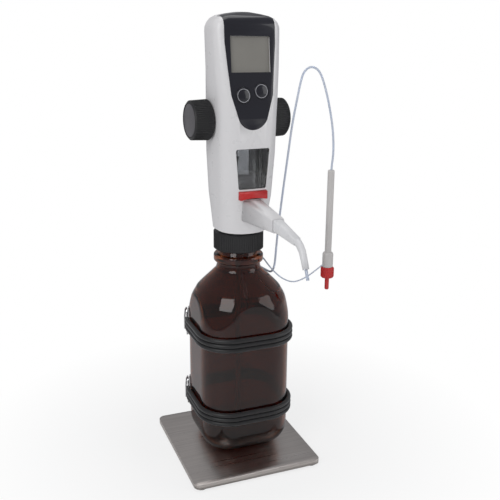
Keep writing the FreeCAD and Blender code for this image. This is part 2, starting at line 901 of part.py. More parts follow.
CROWN = [(14.5, 0.2, 0.2), (10, 1.8, 1.4), (6.3, 4.9, 3.4), (4, 9.5, 6), (2, 17.6, 9.5), (0.3, 29.4, 13)]
outer_head = head_form("OuterHead", size.WallThick * 0)
inner_head = head_form("InnerHead", size.WallThick)
skin_head = head_form("SkinHead", size.PanelThick)
shell = cut("Shell", outer_head, inner_head)
panel_layer = cut("PanelLayer", outer_head, skin_head)
pane_layer = cut("PaneLayer", skin_head, inner_head)
head_top = above_mouth(size.BrowRise + size.CrownHeight)
seam = above_mouth(size.SeamRise)
floor_level = above_mouth(size.BaseRise)


def prism(name, points, back, length):
    """A shape drawn in front view and drawn out towards the front from y = back."""
    form = body(name)
    sketch = outline(form, name + "Outline", "XZ_Plane", points, -back)
    pad(form, sketch, length)
    return form


def upright_box(name, half, y_from, y_to, z_from, z_to):
    """A box that is centred on the head's middle plane."""
    return box(name, -half, half, y_from, y_to, z_from, z_to)


def lean_at(target, x, forward, rise, lean):
    """Leans a piece drawn upright at the origin back like the head's face, and puts it there."""
    place(target, x, -forward, above_mouth(rise), V(-1, 0, 0), lean)
    target.setExpression("Placement.Rotation.Angle", lean.formula)
    return target


# Display panel: a thin glossy cover let into the skin, from a round tip up over the brow
panel_prism = prism("PanelPrism", [
    (-size.PanelLowHalf, above_mouth(size.PanelLowRise), size.PanelTipBend, 1),
    (size.PanelLowHalf, above_mouth(size.PanelLowRise)),
    (size.PanelMidHalf, above_mouth(size.PanelMidRise)),
    (size.PanelTopHalf, above_mouth(size.PanelTopRise)),
    (size.PanelTopHalf, head_top + 5),
    (-size.PanelTopHalf, head_top + 5),
    (-size.PanelTopHalf, above_mouth(size.PanelTopRise)),
    (-size.PanelMidHalf, above_mouth(size.PanelMidRise)),
], -size.PanelReach, size.HeadDepth)
panel_stock = common("PanelStock", panel_layer, panel_prism)

screen_rise = size.DisplayRise + size.ScreenLift


def screen_block(name, grow, front, depth):
    """A block in front of or behind the screen's face, larger by grow all round."""
    half_x = size.ScreenWidth / 2 + grow
    half_z = size.ScreenHeight / 2 + grow
    block = prism(name, [(-half_x, -half_z), (half_x, -half_z), (half_x, half_z), (-half_x, half_z)],
                  front + depth, depth)
    return lean_at(block, 0, size.ScreenForward, screen_rise, size.ScreenLean)


screen_hole = screen_block("ScreenHole", size.FitPlay * 2, -size.ScreenThick * 3, size.ScreenThick * 5)
lcd_screen = together("Screen", screen_block("ScreenBlock", size.FitPlay * 0, size.FitPlay * 0, size.ScreenThick))


# Keys: two round push keys with a rim that holds them behind the skin
def face_forward(rise):
    """How far the face lies forward between the cheeks and the display."""
    share = (rise - size.CheekRise) / (size.DisplayRise - size.CheekRise)
    return size.CheekFront + (size.DisplayFront - size.CheekFront) * share


def key_turned(name, x, rise, profile):
    """A round form on a key's axis. Its profile is (radius, depth behind the face)."""
    rings = []
    for radius, depth in profile:
        rings.append([(across_x, depth, up) for across_x, up, level in circle(radius, 0, KEY_SIDES)])
    return lean_at(panelled(name, rings), x, face_forward(rise), rise, size.KeyLean)


KEY_SIDES = 20


def key(name, x, rise):
    crown = size.KeyRadius - size.KeyProud
    behind = size.WallThick + size.KeyTravel + 0.2
    piece = key_turned(name, x, rise, [
        (crown, -size.KeyProud),
        (size.KeyRadius, 0),
        (size.KeyRadius, behind),
        (size.KeyRadius + size.KeyRim, behind),
        (size.KeyRadius + size.KeyRim, behind + size.KeyRim),
    ])
    hole_radius = size.KeyRadius + size.KeyGap
    hole = key_turned(name + "Hole", x, rise, [(hole_radius, -5), (hole_radius, 5)])
    return together(name + "Whole", piece), hole


key_left, left_hole = key("KeyLeft", -size.KeySpread, screen_rise - size.LeftKeyDrop)
key_right, right_hole = key("KeyRight", size.KeySpread, screen_rise - size.RightKeyDrop)
head_node(key_left, "key_left")
head_node(key_right, "key_right")
head_node(lcd_screen, "lcd_screen")
display_panel = cut("DisplayPanel", panel_stock, screen_hole, left_hole, right_hole)
head_node(display_panel, "display_panel")

# Circuit board: it carries the screen and the keys' contacts, and sits on four posts of the housing
board_half = size.BoardWidth / 2
board_high = size.BoardHeight / 2 - size.BoardDrop
board_low = -size.BoardHeight / 2 - size.BoardDrop
board_block = prism("BoardBlock", [
    (-board_half, board_low), (board_half, board_low), (board_half, board_high), (-board_half, board_high),
], size.ScreenThick + size.BoardThick, size.BoardThick)
lean_at(board_block, 0, size.ScreenForward, screen_rise, size.ScreenLean)
head_node(common("CircuitBoard", board_block, inner_head), "circuit_board")
posts = []
for side_name, side in (("Left", -1), ("Right", 1)):
    for end_name, level in (("Low", board_low + size.PostInset), ("High", board_high - size.PostInset)):
        post = body("Post" + end_name + side_name)
        post_circle = ring_sketch(
            post, post.Name + "Circle", "XZ_Plane", size.PostRadius,
            side * (board_half - size.PostInset), level, -size.ScreenThick,
        )
        pad(post, post_circle, size.WallThick * 5)
        lean_at(post, 0, size.ScreenForward, screen_rise, size.ScreenLean)
        posts.append(post)
board_posts = common("BoardPosts", fuse("PostRods", *posts), inner_head)

# Inspection window: a pane behind the skin, seen through a round-cornered opening
window_form = prism("WindowForm", [
    (-size.WindowLowHalf, above_mouth(size.WindowLowRise)),
    (size.WindowLowHalf, above_mouth(size.WindowLowRise)),
    (size.WindowTopHalf, above_mouth(size.WindowTopRise)),
    (-size.WindowTopHalf, above_mouth(size.WindowTopRise)),
], -size.WaistFront / 2, size.HeadDepth)
soften(window_form, window_form.Tip, "Fillet", size.WindowCorner, lambda edge: edge.BoundBox.YLength > 5)
head_node(common("WindowPane", pane_layer, window_form), "window_pane")

# Release bar: a red slide with a finger scoop under the window
bar_low = above_mouth(size.BarLowRise)
bar_top = above_mouth(size.BarTopRise)
bar_front = -size.WaistFront - size.BarProud
release_form = body("ReleaseForm")
release_sketch = outline(release_form, "ReleaseOutline", "XZ_Plane", [
    (-size.BarHalf, bar_low),
    (-size.BarHalf + 2, bar_low, size.BarScoopBend, -1),
    (size.BarHalf - 2, bar_low),
    (size.BarHalf, bar_low),
    (size.BarHalf, bar_top),
    (-size.BarHalf, bar_top),
], size.WaistFront - size.BarDepth)
release_pad = pad(release_form, release_sketch, size.BarProud + size.BarDepth)
soften(release_form, release_pad, "Fillet", size.BarRound,
       lambda edge: abs(edge.BoundBox.YMax - float(bar_front)) < 1e-3 and edge.BoundBox.ZMin > float(bar_top) - 1)
head_node(together("ReleaseBar", release_form), "release_bar")
bar_hole = upright_box(
    "BarHole", size.BarHalf + size.MoveGap, -size.WaistFront - 4, -size.WaistFront + 8,
    bar_low - size.MoveGap, bar_top + size.MoveGap,
)

# Knob shaft: it crosses the head at the split between the two housing halves
knob_level = above_mouth(size.KnobRise)
split = size.KnobBack


def across(name, radius, x_from, x_to):
    """A rod on the knobs' axis."""
    return cylinder(name, radius, x_to - x_from, x_from, size.KnobBack, knob_level, ALONG_X, 90, 16)


shaft_reach = size.KnobStart + size.ShaftGrip
bush_tunnel = across("BushTunnel", size.BushRadius, -shaft_reach, shaft_reach)
shaft_tunnel = across(
    "ShaftTunnel", (size.ShaftRadius + size.FitPlay) / math.cos(math.pi / 16), -shaft_reach - 12, shaft_reach + 12,
)
bushes = {}
for side_name, side in (("left", -1), ("right", 1)):
    middle = side * (size.GripHalf - size.BushLength / 2 + 0.6)
    ring_body = across("Bush" + side_name, size.BushRadius, middle - size.BushLength / 2, middle + size.BushLength / 2)
    bush = cut("Bearing" + side_name, ring_body, shaft_tunnel)
    head_node(bush, "bearing_" + side_name)

# Valve block: the head's foot, which hangs in the bottle's mouth and carries the glass barrel
axis_y = -size.BarrelForward
block_base = floor_level + size.WallThick
block_step = block_base + size.BlockStep
barrel_low = above_mouth(size.BarrelRise)
pinion_tip = size.ToothModule * (size.PinionTeeth / 2 + 1)
barrel_high = knob_level - pinion_tip - size.MoveGap * 2 - size.FrameThick
block_core = turned("BlockCore", [
    (size.NozzleRadius, mouth - size.NozzleLength),
    (size.NozzleRadius, mouth),
    (size.FinishRadius - size.MoveGap * 2, mouth),
    (size.FinishRadius - size.MoveGap * 2, mouth + size.FlangeHeight),
    (size.BlockNeck, mouth + size.FlangeHeight),
    (size.BlockNeck, block_base),
    (size.BlockNeck + size.BlockStepWide, block_base),
    (size.BlockNeck + size.BlockStepWide, block_step + 1),
], 24)
barrel_outer = size.BoreRadius + size.GlassWall
block_head = cylinder("BlockHead", size.BlockRadius, barrel_low + size.SeatDepth - block_step, 0, axis_y, block_step)
block_seat = cylinder("BlockSeat", barrel_outer, size.SeatDepth + 1, 0, axis_y, barrel_low)
block_crown = cylinder("BlockCrown", size.BoreRadius - size.FitPlay, size.FloorRise - size.BarrelRise, 0, axis_y, barrel_low)
ear_back = size.TieBack + size.TieRadius * 2
block_ear = upright_box("BlockEar", size.TieSpread + size.TieRadius * 2, 0, ear_back, block_step, block_step + size.EarThick)
suction_hole = cylinder(
    "SuctionHole", size.SuctionRadius + size.FitPlay, size.NozzleLength + 20,
    0, 0, mouth - size.NozzleLength - 1, sides=0,
)
outlet_level = above_mouth(size.OutletRise)
block_bored = cut(
    "BlockBored",
    fuse("BlockSolid", block_core, cut("BlockSocket", block_head, block_seat), block_crown, block_ear),
    suction_hole,
)
head_node(block_bored, "valve_block")

# Barrel: a glass tube that stands in the block and is closed by the gear frame
barrel = cut(
    "Barrel",
    cylinder("BarrelOuter", barrel_outer, barrel_high - barrel_low, 0, axis_y, barrel_low),
    cylinder("BarrelBore", size.BoreRadius, barrel_high - barrel_low + 2, 0, axis_y, barrel_low - 1),
)
head_node(barrel, "barrel")

# Piston with its lip seal, at the bottom of its stroke
piston_low = above_mouth(size.FloorRise + size.PistonLift)
piston_top = piston_low + size.PistonHeight
piston_radius = size.BoreRadius - size.PistonPlay
seal_low = piston_low + size.SealOffset
piston_core = piston_radius - size.SealDepth
piston_solid = turned("PistonSolid", [
    (piston_radius, piston_low), (piston_radius, seal_low), (piston_core, seal_low),
    (piston_core, seal_low + size.SealHeight), (piston_radius, seal_low + size.SealHeight), (piston_radius, piston_top),
], 24)
place(piston_solid, 0, axis_y, 0)
head_node(together("PistonHead", piston_solid), "piston_head")
seal_radius = size.BoreRadius - size.SealPlay
seal_ring = cut(
    "PistonSeal",
    cylinder("SealDisc", seal_radius, size.SealHeight, 0, axis_y, seal_low),
    cylinder("SealHole", piston_core, size.SealHeight + 2, 0, axis_y, seal_low - 1),
)
head_node(seal_ring, "piston_seal")

# Rack: the piston's square rod, toothed towards the pinion
module = size.ToothModule
pitch = module * math.pi
pitch_line = size.KnobBack - module * size.PinionTeeth / 2
rack_root = pitch_line - module * 1.25
rod_front = rack_root - size.RackDepth
rod_top = above_mouth(size.RackTop)
tooth_tip = module * 0.42
tooth_root = module * 1.2
rack = body("Rack")
rack_section = outline(rack, "RackSection", "XY_Plane", [
    (-size.RackWidth / 2, rod_front),
    (size.RackWidth / 2, rod_front),
    (size.RackWidth / 2, rack_root),
    (-size.RackWidth / 2, rack_root),
], piston_top)
pad(rack, rack_section, rod_top - piston_top)
# In side view the sketch's x is the head's y
rack_tooth = outline(rack, "RackTooth", "YZ_Plane", [
    (rack_root - 0.1, knob_level - tooth_root),
    (pitch_line + module, knob_level - tooth_tip),
    (pitch_line + module, knob_level + tooth_tip),
    (rack_root - 0.1, knob_level + tooth_root),
], -size.RackWidth / 2)
tooth_pad = pad(rack, rack_tooth, size.RackWidth)


def in_line(owner, feature, axis_sketch, axis_name, reach, count, reverse=False):
    """Repeats a feature along a direction, over the reach from first to last."""
    pattern = owner.newObject("PartDesign::LinearPattern", feature.Name + "Line")
    pattern.Originals = [feature]
    pattern.Direction = (axis_sketch, [axis_name])
    pattern.Reversed = reverse
    bind(pattern, Length=reach, Occurrences=count)
    owner.Tip = pattern
    return pattern


down_line = in_line(rack, tooth_pad, rack_tooth, "V_Axis", pitch * (size.RackTeeth - 1), size.RackTeeth, True)
head_node(together("PistonRod", rack), "piston_rod")

# Pinion on the knob shaft, with a gap between teeth facing the rack
pinion = body("Pinion")
pinion_root = module * (size.PinionTeeth / 2 - 1.25)
pinion_disc = ring_sketch(pinion, "PinionDisc", "XY_Plane", pinion_root)
pad(pinion, pinion_disc, size.PinionWidth)
pinion_tooth = outline(pinion, "PinionTooth", "XY_Plane", [
    (pinion_root - 0.4, -tooth_root * 0.9),
    (pinion_root + module * 2.2, -tooth_tip * 0.65),
    (pinion_root + module * 2.2, tooth_tip * 0.65),
    (pinion_root - 0.4, tooth_root * 0.9),
])
pinion_tooth_pad = pad(pinion, pinion_tooth, size.PinionWidth)
around(pinion, pinion_tooth_pad, pinion_tooth, "N_Axis", size.PinionTeeth)
pinion_bore = ring_sketch(pinion, "PinionBore", "XY_Plane", size.ShaftRadius)
pocket(pinion, pinion_bore, size.PinionWidth + 1, True)
# The wheel's own x axis, where the first tooth lies, is turned half a tooth off the rack's direction
turned = FreeCAD.Rotation(ALONG_X, 90) * FreeCAD.Rotation(UP, 90 + 180 / float(size.PinionTeeth))
pinion.Placement = FreeCAD.Placement(
    V(-float(size.PinionWidth) / 2, float(size.KnobBack), float(knob_level)), turned
)
pinion.setExpression("Placement.Base.x", (-size.PinionWidth / 2).formula)
pinion.setExpression("Placement.Base.y", size.KnobBack.formula)
pinion.setExpression("Placement.Base.z", knob_level.formula)
head_node(together("DrivePinion", pinion), "drive_pinion")
drive_shaft = across("ShaftRod", size.ShaftRadius, -shaft_reach, shaft_reach)
head_node(together("DriveShaft", drive_shaft), "drive_shaft")

# Gear frame: it closes the barrel, guides the rod and carries the shaft between two cheeks
frame_top = barrel_high + size.FrameThick
cheek_in = size.PinionWidth / 2 + size.CheekGap
cheeks = [
    box(
        "Cheek" + side_name, x_from, x_from + size.CheekThick,
        size.KnobBack - size.CheekHalf, size.KnobBack + size.CheekHalf, barrel_high, knob_level + size.CheekHalf,
    )
    for side_name, x_from in (("Left", -cheek_in - size.CheekThick), ("Right", cheek_in))
]
frame_disc = cylinder("FrameDisc", size.BlockRadius, size.FrameThick, 0, axis_y, barrel_high)
frame_ear = upright_box("FrameEar", size.TieSpread + size.TieRadius * 2, 0, ear_back, barrel_high, frame_top)
rod_hole = upright_box(
    "RodHole", size.RackWidth / 2 + size.MoveGap, rod_front - size.MoveGap, pitch_line + module + size.MoveGap,
    barrel_high - 1, frame_top + 1,
)
head_node(cut("GearFrame", fuse("FrameSolid", frame_disc, frame_ear, *cheeks), rod_hole, shaft_tunnel), "gear_frame")
ties = [
    cylinder("Tie" + side_name, size.TieRadius, barrel_high - block_step - size.EarThick,
             side * size.TieSpread, size.TieBack, block_step + size.EarThick, sides=12)
    for side_name, side in (("Left", -1), ("Right", 1))
]
head_node(together("TieRods", *ties), "tie_rods")


# Knobs: finely ribbed hand wheels with a plain face, one at each end of the shaft
def knob(side_name, side):
    rib = size.KnobRibHeight
    bevel = size.KnobBevel
    rim = [
        (size.KnobInnerRadius - bevel, 0 * bevel), (size.KnobInnerRadius, bevel),
        (size.KnobOuterRadius, size.KnobLength - bevel), (size.KnobOuterRadius - bevel, size.KnobLength),
    ]
    wheel = cut(
        "Wheel" + side_name,
        panelled("WheelSolid" + side_name, [fluted(level, radius, radius - rib, KNOB_FLUTES) for radius, level in rim]),
        cylinder("WheelBore" + side_name, size.ShaftRadius, size.ShaftGrip + 1, 0, 0, -1, sides=16),
        cylinder("WheelFace" + side_name, size.CapDisc, size.CapSink + 1, 0, 0, size.KnobLength - size.CapSink),
    )
    place(wheel, side * size.KnobStart, size.KnobBack, knob_level, ALONG_X, side * 90)
    head_node(together("Knob" + side_name, wheel), "knob_" + side_name.lower())
    face = side * (size.KnobStart + size.KnobLength - size.CapSink)
    disc = cylinder("CapDisc" + side_name, size.CapDisc, size.CapThick, face, size.KnobBack, knob_level, ALONG_X, side * 90)
    head_node(together("KnobCap" + side_name, disc), "knob_cap_" + side_name.lower())


knob("Left", -1)
knob("Right", 1)

# Spout sleeve: a hollow arm from the block's front, through the shell, to a narrow mouth
mouth_y = -size.SleeveEnd
mouth_level = above_mouth(size.SpoutRise)


def spout_section(wide, tall, middle, y, corner):
    """A ring of points across the spout, with bevelled corners."""
    points = soft_square(wide / 2, tall / 2, tall / 2, corner, corner, SPOUT_STEPS)
    return [(x, y, up + middle) for x, up in points]


SPOUT_STEPS = 2
root_level = above_mouth(size.SleeveRise)
sleeve_outer = panelled("SleeveOuter", [
    spout_section(size.SleeveWide + 1.2, size.SleeveTall + 1.2, root_level, -size.SleeveStart, size.SleeveRound),
    spout_section(size.MouthWide, size.MouthTall, mouth_level, mouth_y, size.SleeveRound),
])


def aim(target):
    """Tips a piece drawn along the spout, with the sleeve's mouth as its origin, down by the spout's slope."""
    place(target, 0, mouth_y, mouth_level, ALONG_Y, size.SpoutSlope)
    target.setExpression("Placement.Rotation.Angle", size.SpoutSlope.formula)
    return target


cavity_length = size.SleeveEnd - size.CavityStart
cavity = prism("SleeveCavity", soft_square(
    size.SlideWide / 2 + size.SlidePlay, size.SlideTall / 2 + size.SlidePlay, size.SlideTall / 2 + size.SlidePlay,
    size.SlideRound, size.SlideRound, SPOUT_STEPS,
), cavity_length, cavity_length + 10)
aim(cavity)
block_gap = cylinder("BlockGap", size.BlockRadius, size.SleeveTall * 2, 0, axis_y, above_mouth(size.SleeveRise) - size.SleeveTall)
spout_sleeve = cut("SpoutSleeve", sleeve_outer, block_gap, cavity)
head_node(spout_sleeve, "spout_sleeve")

# Spout slide: a square guide, a tapering arm and a round tip turned down, drawn in one loft
slide_guide = prism("SlideGuide", soft_square(
    size.SlideWide / 2, size.SlideTall / 2, size.SlideTall / 2, size.SlideRound, size.SlideRound, SPOUT_STEPS,
), size.SleeveEnd - size.SlideRear, size.SleeveEnd - size.SlideRear)
arm_low = -size.SlideTall / 2
arm_middle = arm_low + size.ArmThick / 2
slide_arm = panelled("SlideArm", [
    spout_section(size.SlideWide, size.SlideTall, 0, 0, size.SlideRound),
    spout_section(size.ArmThick, size.ArmThick, arm_middle, -size.ArmLength, size.SlideRound),
])


def bent_bar(name, stations):
    """A round bar with flat sides through stations of (y, z, downward angle, radius)."""
    rings = []
    for y, z, angle, radius in stations:
        slant = math.radians(angle)
        ring = []
        for across_x, above, level in circle(radius, 0, ELBOW_SIDES):
            ring.append((across_x, float(y) - above * math.sin(slant), float(z) + above * math.cos(slant)))
        rings.append(ring)
    return panelled(name, rings)


ELBOW_SIDES = 12
tip_radius = size.TipWidth / 2
arm_end = -size.ArmLength
slide_elbow = bent_bar("SlideElbow", [
    (arm_end + 2, arm_middle, 0, size.ArmThick / 2),
    (arm_end - 2, arm_middle - 0.2, 8, size.ArmThick / 2),
    (arm_end - 6, arm_middle - 1.6, 24, size.ArmThick / 2 - 0.2),
    (arm_end - 11.5, arm_middle - 5.6, 42, tip_radius + 0.3),
    (arm_end - 16, arm_middle - 12, 56, tip_radius + 0.1),
    (arm_end - 21.2, arm_middle - 20.4, 60, tip_radius),
])
spout_solid = fuse("SpoutSolid", slide_guide, slide_arm, slide_elbow)
tip_hole = cylinder("TipHole", size.TubeRadius, size.TipInset + 1, sides=12)
tip_tube = cylinder("TipTube", size.TubeRadius, size.TubeTipLength, sides=12)
for rod, along in ((tip_hole, size.TipInset), (tip_tube, size.TipInset)):
    # The tube leaves the tip on its axis, 60 degrees down from the arm
    back = float(along)
    slant = math.radians(60)
    start_y = float(arm_end) - 21.2 + back * math.cos(slant)
    start_z = float(arm_middle) - 20.4 + back * math.sin(slant)
    place(rod, 0, start_y, start_z, ALONG_Y, 90 + 60)
aim(together("SpoutAimed", cut("SpoutBored", spout_solid, tip_hole)))
aim(together("TipAimed", tip_tube))
head_node(together("SpoutSlide", doc.SpoutAimed), "spout_slide")
head_node(together("TipTubeWhole", doc.TipAimed), "tip_tube")

# Housing: front and rear halves above the seam, and the lower shell below it
front_region = upright_box("FrontRegion", size.HeadDepth, -size.HeadDepth, split, seam, head_top + 10)
rear_region = upright_box("RearRegion", size.HeadDepth, split, size.HeadDepth, seam, head_top + 10)
low_region = upright_box("LowRegion", size.HeadDepth, -size.HeadDepth, size.HeadDepth, floor_level - 10, seam)
housing_front = cut(
    "HousingFront",
    fuse("FrontSolid", common("FrontShell", shell, front_region), board_posts),
    panel_stock, screen_hole, left_hole, right_hole, window_form, bar_hole, bush_tunnel,
)
head_node(housing_front, "housing_front")
cover_region = upright_box(
    "CoverRegion", size.CoverHalf, size.KnobBack + 4, size.HeadDepth,
    above_mouth(size.CoverLowRise), above_mouth(size.CoverTopRise),
)
cover_hole = upright_box(
    "CoverHole", size.CoverHalf + size.MoveGap, size.KnobBack + 4, size.HeadDepth,
    above_mouth(size.CoverLowRise) - size.MoveGap, above_mouth(size.CoverTopRise) + size.MoveGap,
)
housing_rear = cut("HousingRear", common("RearShell", shell, rear_region), cover_hole, bush_tunnel)
head_node(housing_rear, "housing_rear")
head_node(common("BatteryCover", shell, cover_region), "battery_cover")
neck_hole = cylinder("NeckHole", size.BlockNeck, 20, 0, 0, floor_level - 5)
lower_shell = cut("LowerShell", common("LowShell", shell, low_region), neck_hole, sleeve_outer)
head_node(lower_shell, "lower_shell")

# Battery tray: an open box against the rear skin, with two cells side by side
tray_wall = size.TrayWall
tray_half = size.CellSpread + size.CellRadius + size.MoveGap
tray_low = above_mouth(size.CellRise)
tray_front = size.CellBack - size.CellRadius - size.MoveGap
tray_block = upright_box(
    "TrayBlock", tray_half + tray_wall * 3, tray_front - tray_wall, size.HeadDepth,
    tray_low - tray_wall * 2, tray_low + size.CellLength + size.MoveGap * 2 + tray_wall * 2,
)
tray_hollow = upright_box(
    "TrayHollow", tray_half, tray_front, size.HeadDepth, tray_low, tray_low + size.CellLength + size.MoveGap * 2,
)
head_node(cut("BatteryTray", common("TrayFitted", tray_block, inner_head), tray_hollow), "battery_tray")
for side_name, side in (("left", -1), ("right", 1)):
    cell = cylinder("Cell" + side_name, size.CellRadius, size.CellLength, side * size.CellSpread, size.CellBack, tray_low)
    head_node(together("Battery" + side_name, cell), "battery_" + side_name)

# Suction tube: it hangs from the block nearly to the bottle's floor
suction_low = plate_top + size.BottleFloor + size.SuctionGap
suction_length = mouth - size.NozzleLength + 18 - suction_low
suction_tube = cut(
    "SuctionTube",
    cylinder("SuctionOuter", size.SuctionRadius, suction_length, 0, 0, suction_low, sides=12),
    cylinder(
        "SuctionBore", size.SuctionRadius - size.SuctionWall, suction_length + 2, 0, 0, suction_low - 1, sides=12,
    ),
)
head_node(suction_tube, "suction_tube")

# The tubes have six flat sides and fill sockets of the same form a little wider across
SOCKET_FIT = 1.1

# Tube gland: a small block on the lower shell's back with two sockets facing down
gland_low = above_mouth(size.GlandRise)
gland_block = box(
    "GlandBlock", size.GlandMiddle - size.GlandHalf, size.GlandMiddle + size.GlandHalf,
    size.BaseBack / 2, size.GlandBack, gland_low, gland_low + size.GlandHeight,
)
flex_socket = cylinder(
    "FlexSocket", size.FlexRadius * SOCKET_FIT, size.SocketDepth,
    size.FlexExitSide, size.TubeExitBack, gland_low, sides=12,
)
line_socket = cylinder(
    "LineSocket", size.LineRadius * SOCKET_FIT, size.SocketDepth,
    size.LineExitSide, size.TubeExitBack, gland_low, sides=12,
)
head_node(cut("TubeGland", gland_block, outer_head, flex_socket, line_socket), "tube_gland")

# Routes of the two flexible tubes, in millimetres from the gland to the handle
FLEX_ROUTE = [
    (9.7, 37.7, 277), (9.7, 37.7, 264), (10.5, 38.2, 246), (14, 38.5, 230), (22, 34.5, 218), (33, 24, 213.5),
    (39, 10, 210.5), (41, 0.5, 210.5), (42.2, -4.5, 216.5), (43.5, -5, 226), (44.3, -5.1, 239), (45.9, -5.8, 262),
    (47.6, -7.6, 285), (49.2, -10.2, 309), (51, -12.5, 331.5), (53.4, -14.5, 357.7), (56.1, -15.5, 383),
    (60.6, -17.4, 411), (63.4, -18.2, 427), (66.2, -18.9, 437.6), (72, -20.2, 443.2), (78.5, -21.6, 443),
    (84.5, -23, 437.4), (89, -24.2, 425.5), (94.5, -25.5, 406), (100.2, -26.7, 378), (102, -27.3, 352),
    (100.2, -26.7, 334), (100.2, -26.7, 326.5),
]
LINE_ROUTE = [
    (2.7, 37.2, 277), (2.7, 37.2, 262), (6, 37.5, 246), (14, 33.5, 237), (23, 22, 232), (29.5, 9, 230.5),
    (31, 0.5, 229), (34.8, -5, 222), (40.7, -9.4, 214.1), (47.3, -12, 207.7), (54.8, -13, 203),
    (62.8, -14.1, 200.4), (71.1, -15.2, 202), (79.6, -18.6, 207.3), (87, -21.6, 213.8), (96.9, -25.4, 223),
]

# Remote handle: a slim rod with a collar, a ribbed red turning cap and its stem.
# The thin line ends in a slanting bore of the collar.
line_way = (V(*LINE_ROUTE[-1]) - V(*LINE_ROUTE[-2])).normalize()
line_start = V(*LINE_ROUTE[-1]) - line_way * (float(size.LineEntry) - 0.2)
handle_x, handle_y = size.HandleRight, -size.HandleForward
handle_low = plate_top + size.HandleLow
collar_low = plate_top + size.CollarLow
handle_rod = cut(
    "HandleRod",
    cylinder("RodOuter", size.HandleRadius, size.HandleTop - size.HandleLow, handle_x, handle_y, handle_low),
    cylinder(
        "RodBore", size.FlexRadius * SOCKET_FIT, size.SocketDepth,
        handle_x, handle_y, plate_top + size.HandleTop - size.SocketDepth, sides=12,
    ),
)
stand_node(handle_rod, "handle_rod")
handle_collar = cut(
    "HandleCollar",
    cylinder("CollarOuter", size.CollarRadius, size.HandleLow - size.CollarLow, handle_x, handle_y, collar_low),
    cylinder(
        "CollarBore", size.LineRadius * 1.16, size.LineEntry, line_start.x, line_start.y, line_start.z,
        UP.cross(line_way), math.degrees(UP.getAngle(line_way)), 12,
    ),
)
stand_node(handle_collar, "handle_collar")
cap_low = collar_low - size.CapHeight
cap_core = size.CapRadius - 1.2
cap_grip = panelled("CapGrip", [
    fluted(cap_low, cap_core, cap_core, CAP_FLUTES),
    fluted(cap_low + 1.2, size.CapRadius, size.CapRadius - 0.7, CAP_FLUTES),
    fluted(cap_low + size.CapHeight - 1.2, size.CapRadius, size.CapRadius - 0.7, CAP_FLUTES),
    fluted(cap_low + size.CapHeight, cap_core, cap_core, CAP_FLUTES),
])
place(cap_grip, handle_x, handle_y, 0)
cap_stem = cylinder(
    "CapStem", size.StemRadius, size.StemHeight + 1, handle_x, handle_y, cap_low - size.StemHeight, sides=0,
)
stand_node(fuse("RedCap", cap_grip, cap_stem), "red_cap")



def smooth_run(label, route):
    """Straight runs through the route's points, joined by arcs as large as the runs allow."""
    spots = [V(*point) for point in route]
    edges = []
    radii = []
    start = spots[0]
    for before, corner, after in zip(spots, spots[1:], spots[2:]):
        back, ahead = before - corner, after - corner
        shorter = min(back.Length, ahead.Length)
        back.normalize()
        ahead.normalize()
        turn = math.pi - back.getAngle(ahead)
        radius = 0.45 * shorter / math.tan(turn / 2)
        entry = corner + back * (0.45 * shorter)
        leave = corner + ahead * (0.45 * shorter)
        inward = (back + ahead).normalize()
        middle = corner + inward * (radius / math.cos(turn / 2) - radius)
        edges.append(Part.LineSegment(start, entry).toShape())
        edges.append(Part.Arc(entry, middle, leave).toShape())
        radii.append(radius)
        start = leave
    edges.append(Part.LineSegment(start, spots[-1]).toShape())
    length = sum(edge.Length for edge in edges)
    print(label, "length %.1f" % length, "radii", " ".join("%.0f" % radius for radius in radii))
    return edges, length


def tube(name, label, route, radius):
    edges, length = smooth_run(label, route)
    solid = bar_along(edges, float(radius), TUBE_SIDES)
    print(label, "volume %.0f, section times length %.0f" % (solid.Volume, math.pi * float(radius) ** 2 * length))
    return stand_node(made(name, solid), label)


tube("DischargeTube", "discharge_tube", FLEX_ROUTE, size.FlexRadius)
tube("ThinLine", "thin_line", LINE_ROUTE, size.LineRadius)

doc.recompute()
faults = [item.Name for item in doc.Objects if "Invalid" in item.State or "Error" in item.State]
for item in STAND_NODES + HEAD_NODES:
    if item.Shape.isNull() or not item.Shape.isValid() or not item.Shape.Solids:
        faults.append(item.Label)
for fault in faults:
    print("failed:", fault)
os.makedirs("parts", exist_ok=True)
for item in STAND_NODES + HEAD_NODES:
    room = item.Shape.optimalBoundingBox()
    print("%-18s %2d %9d  %s" % (item.Label, len(item.Shape.Solids), item.Shape.Volume, room))
    item.Shape.exportStep("parts/" + item.Label + ".step")
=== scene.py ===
import json
import math

import bmesh
import bpy
from mathutils import Matrix, Vector

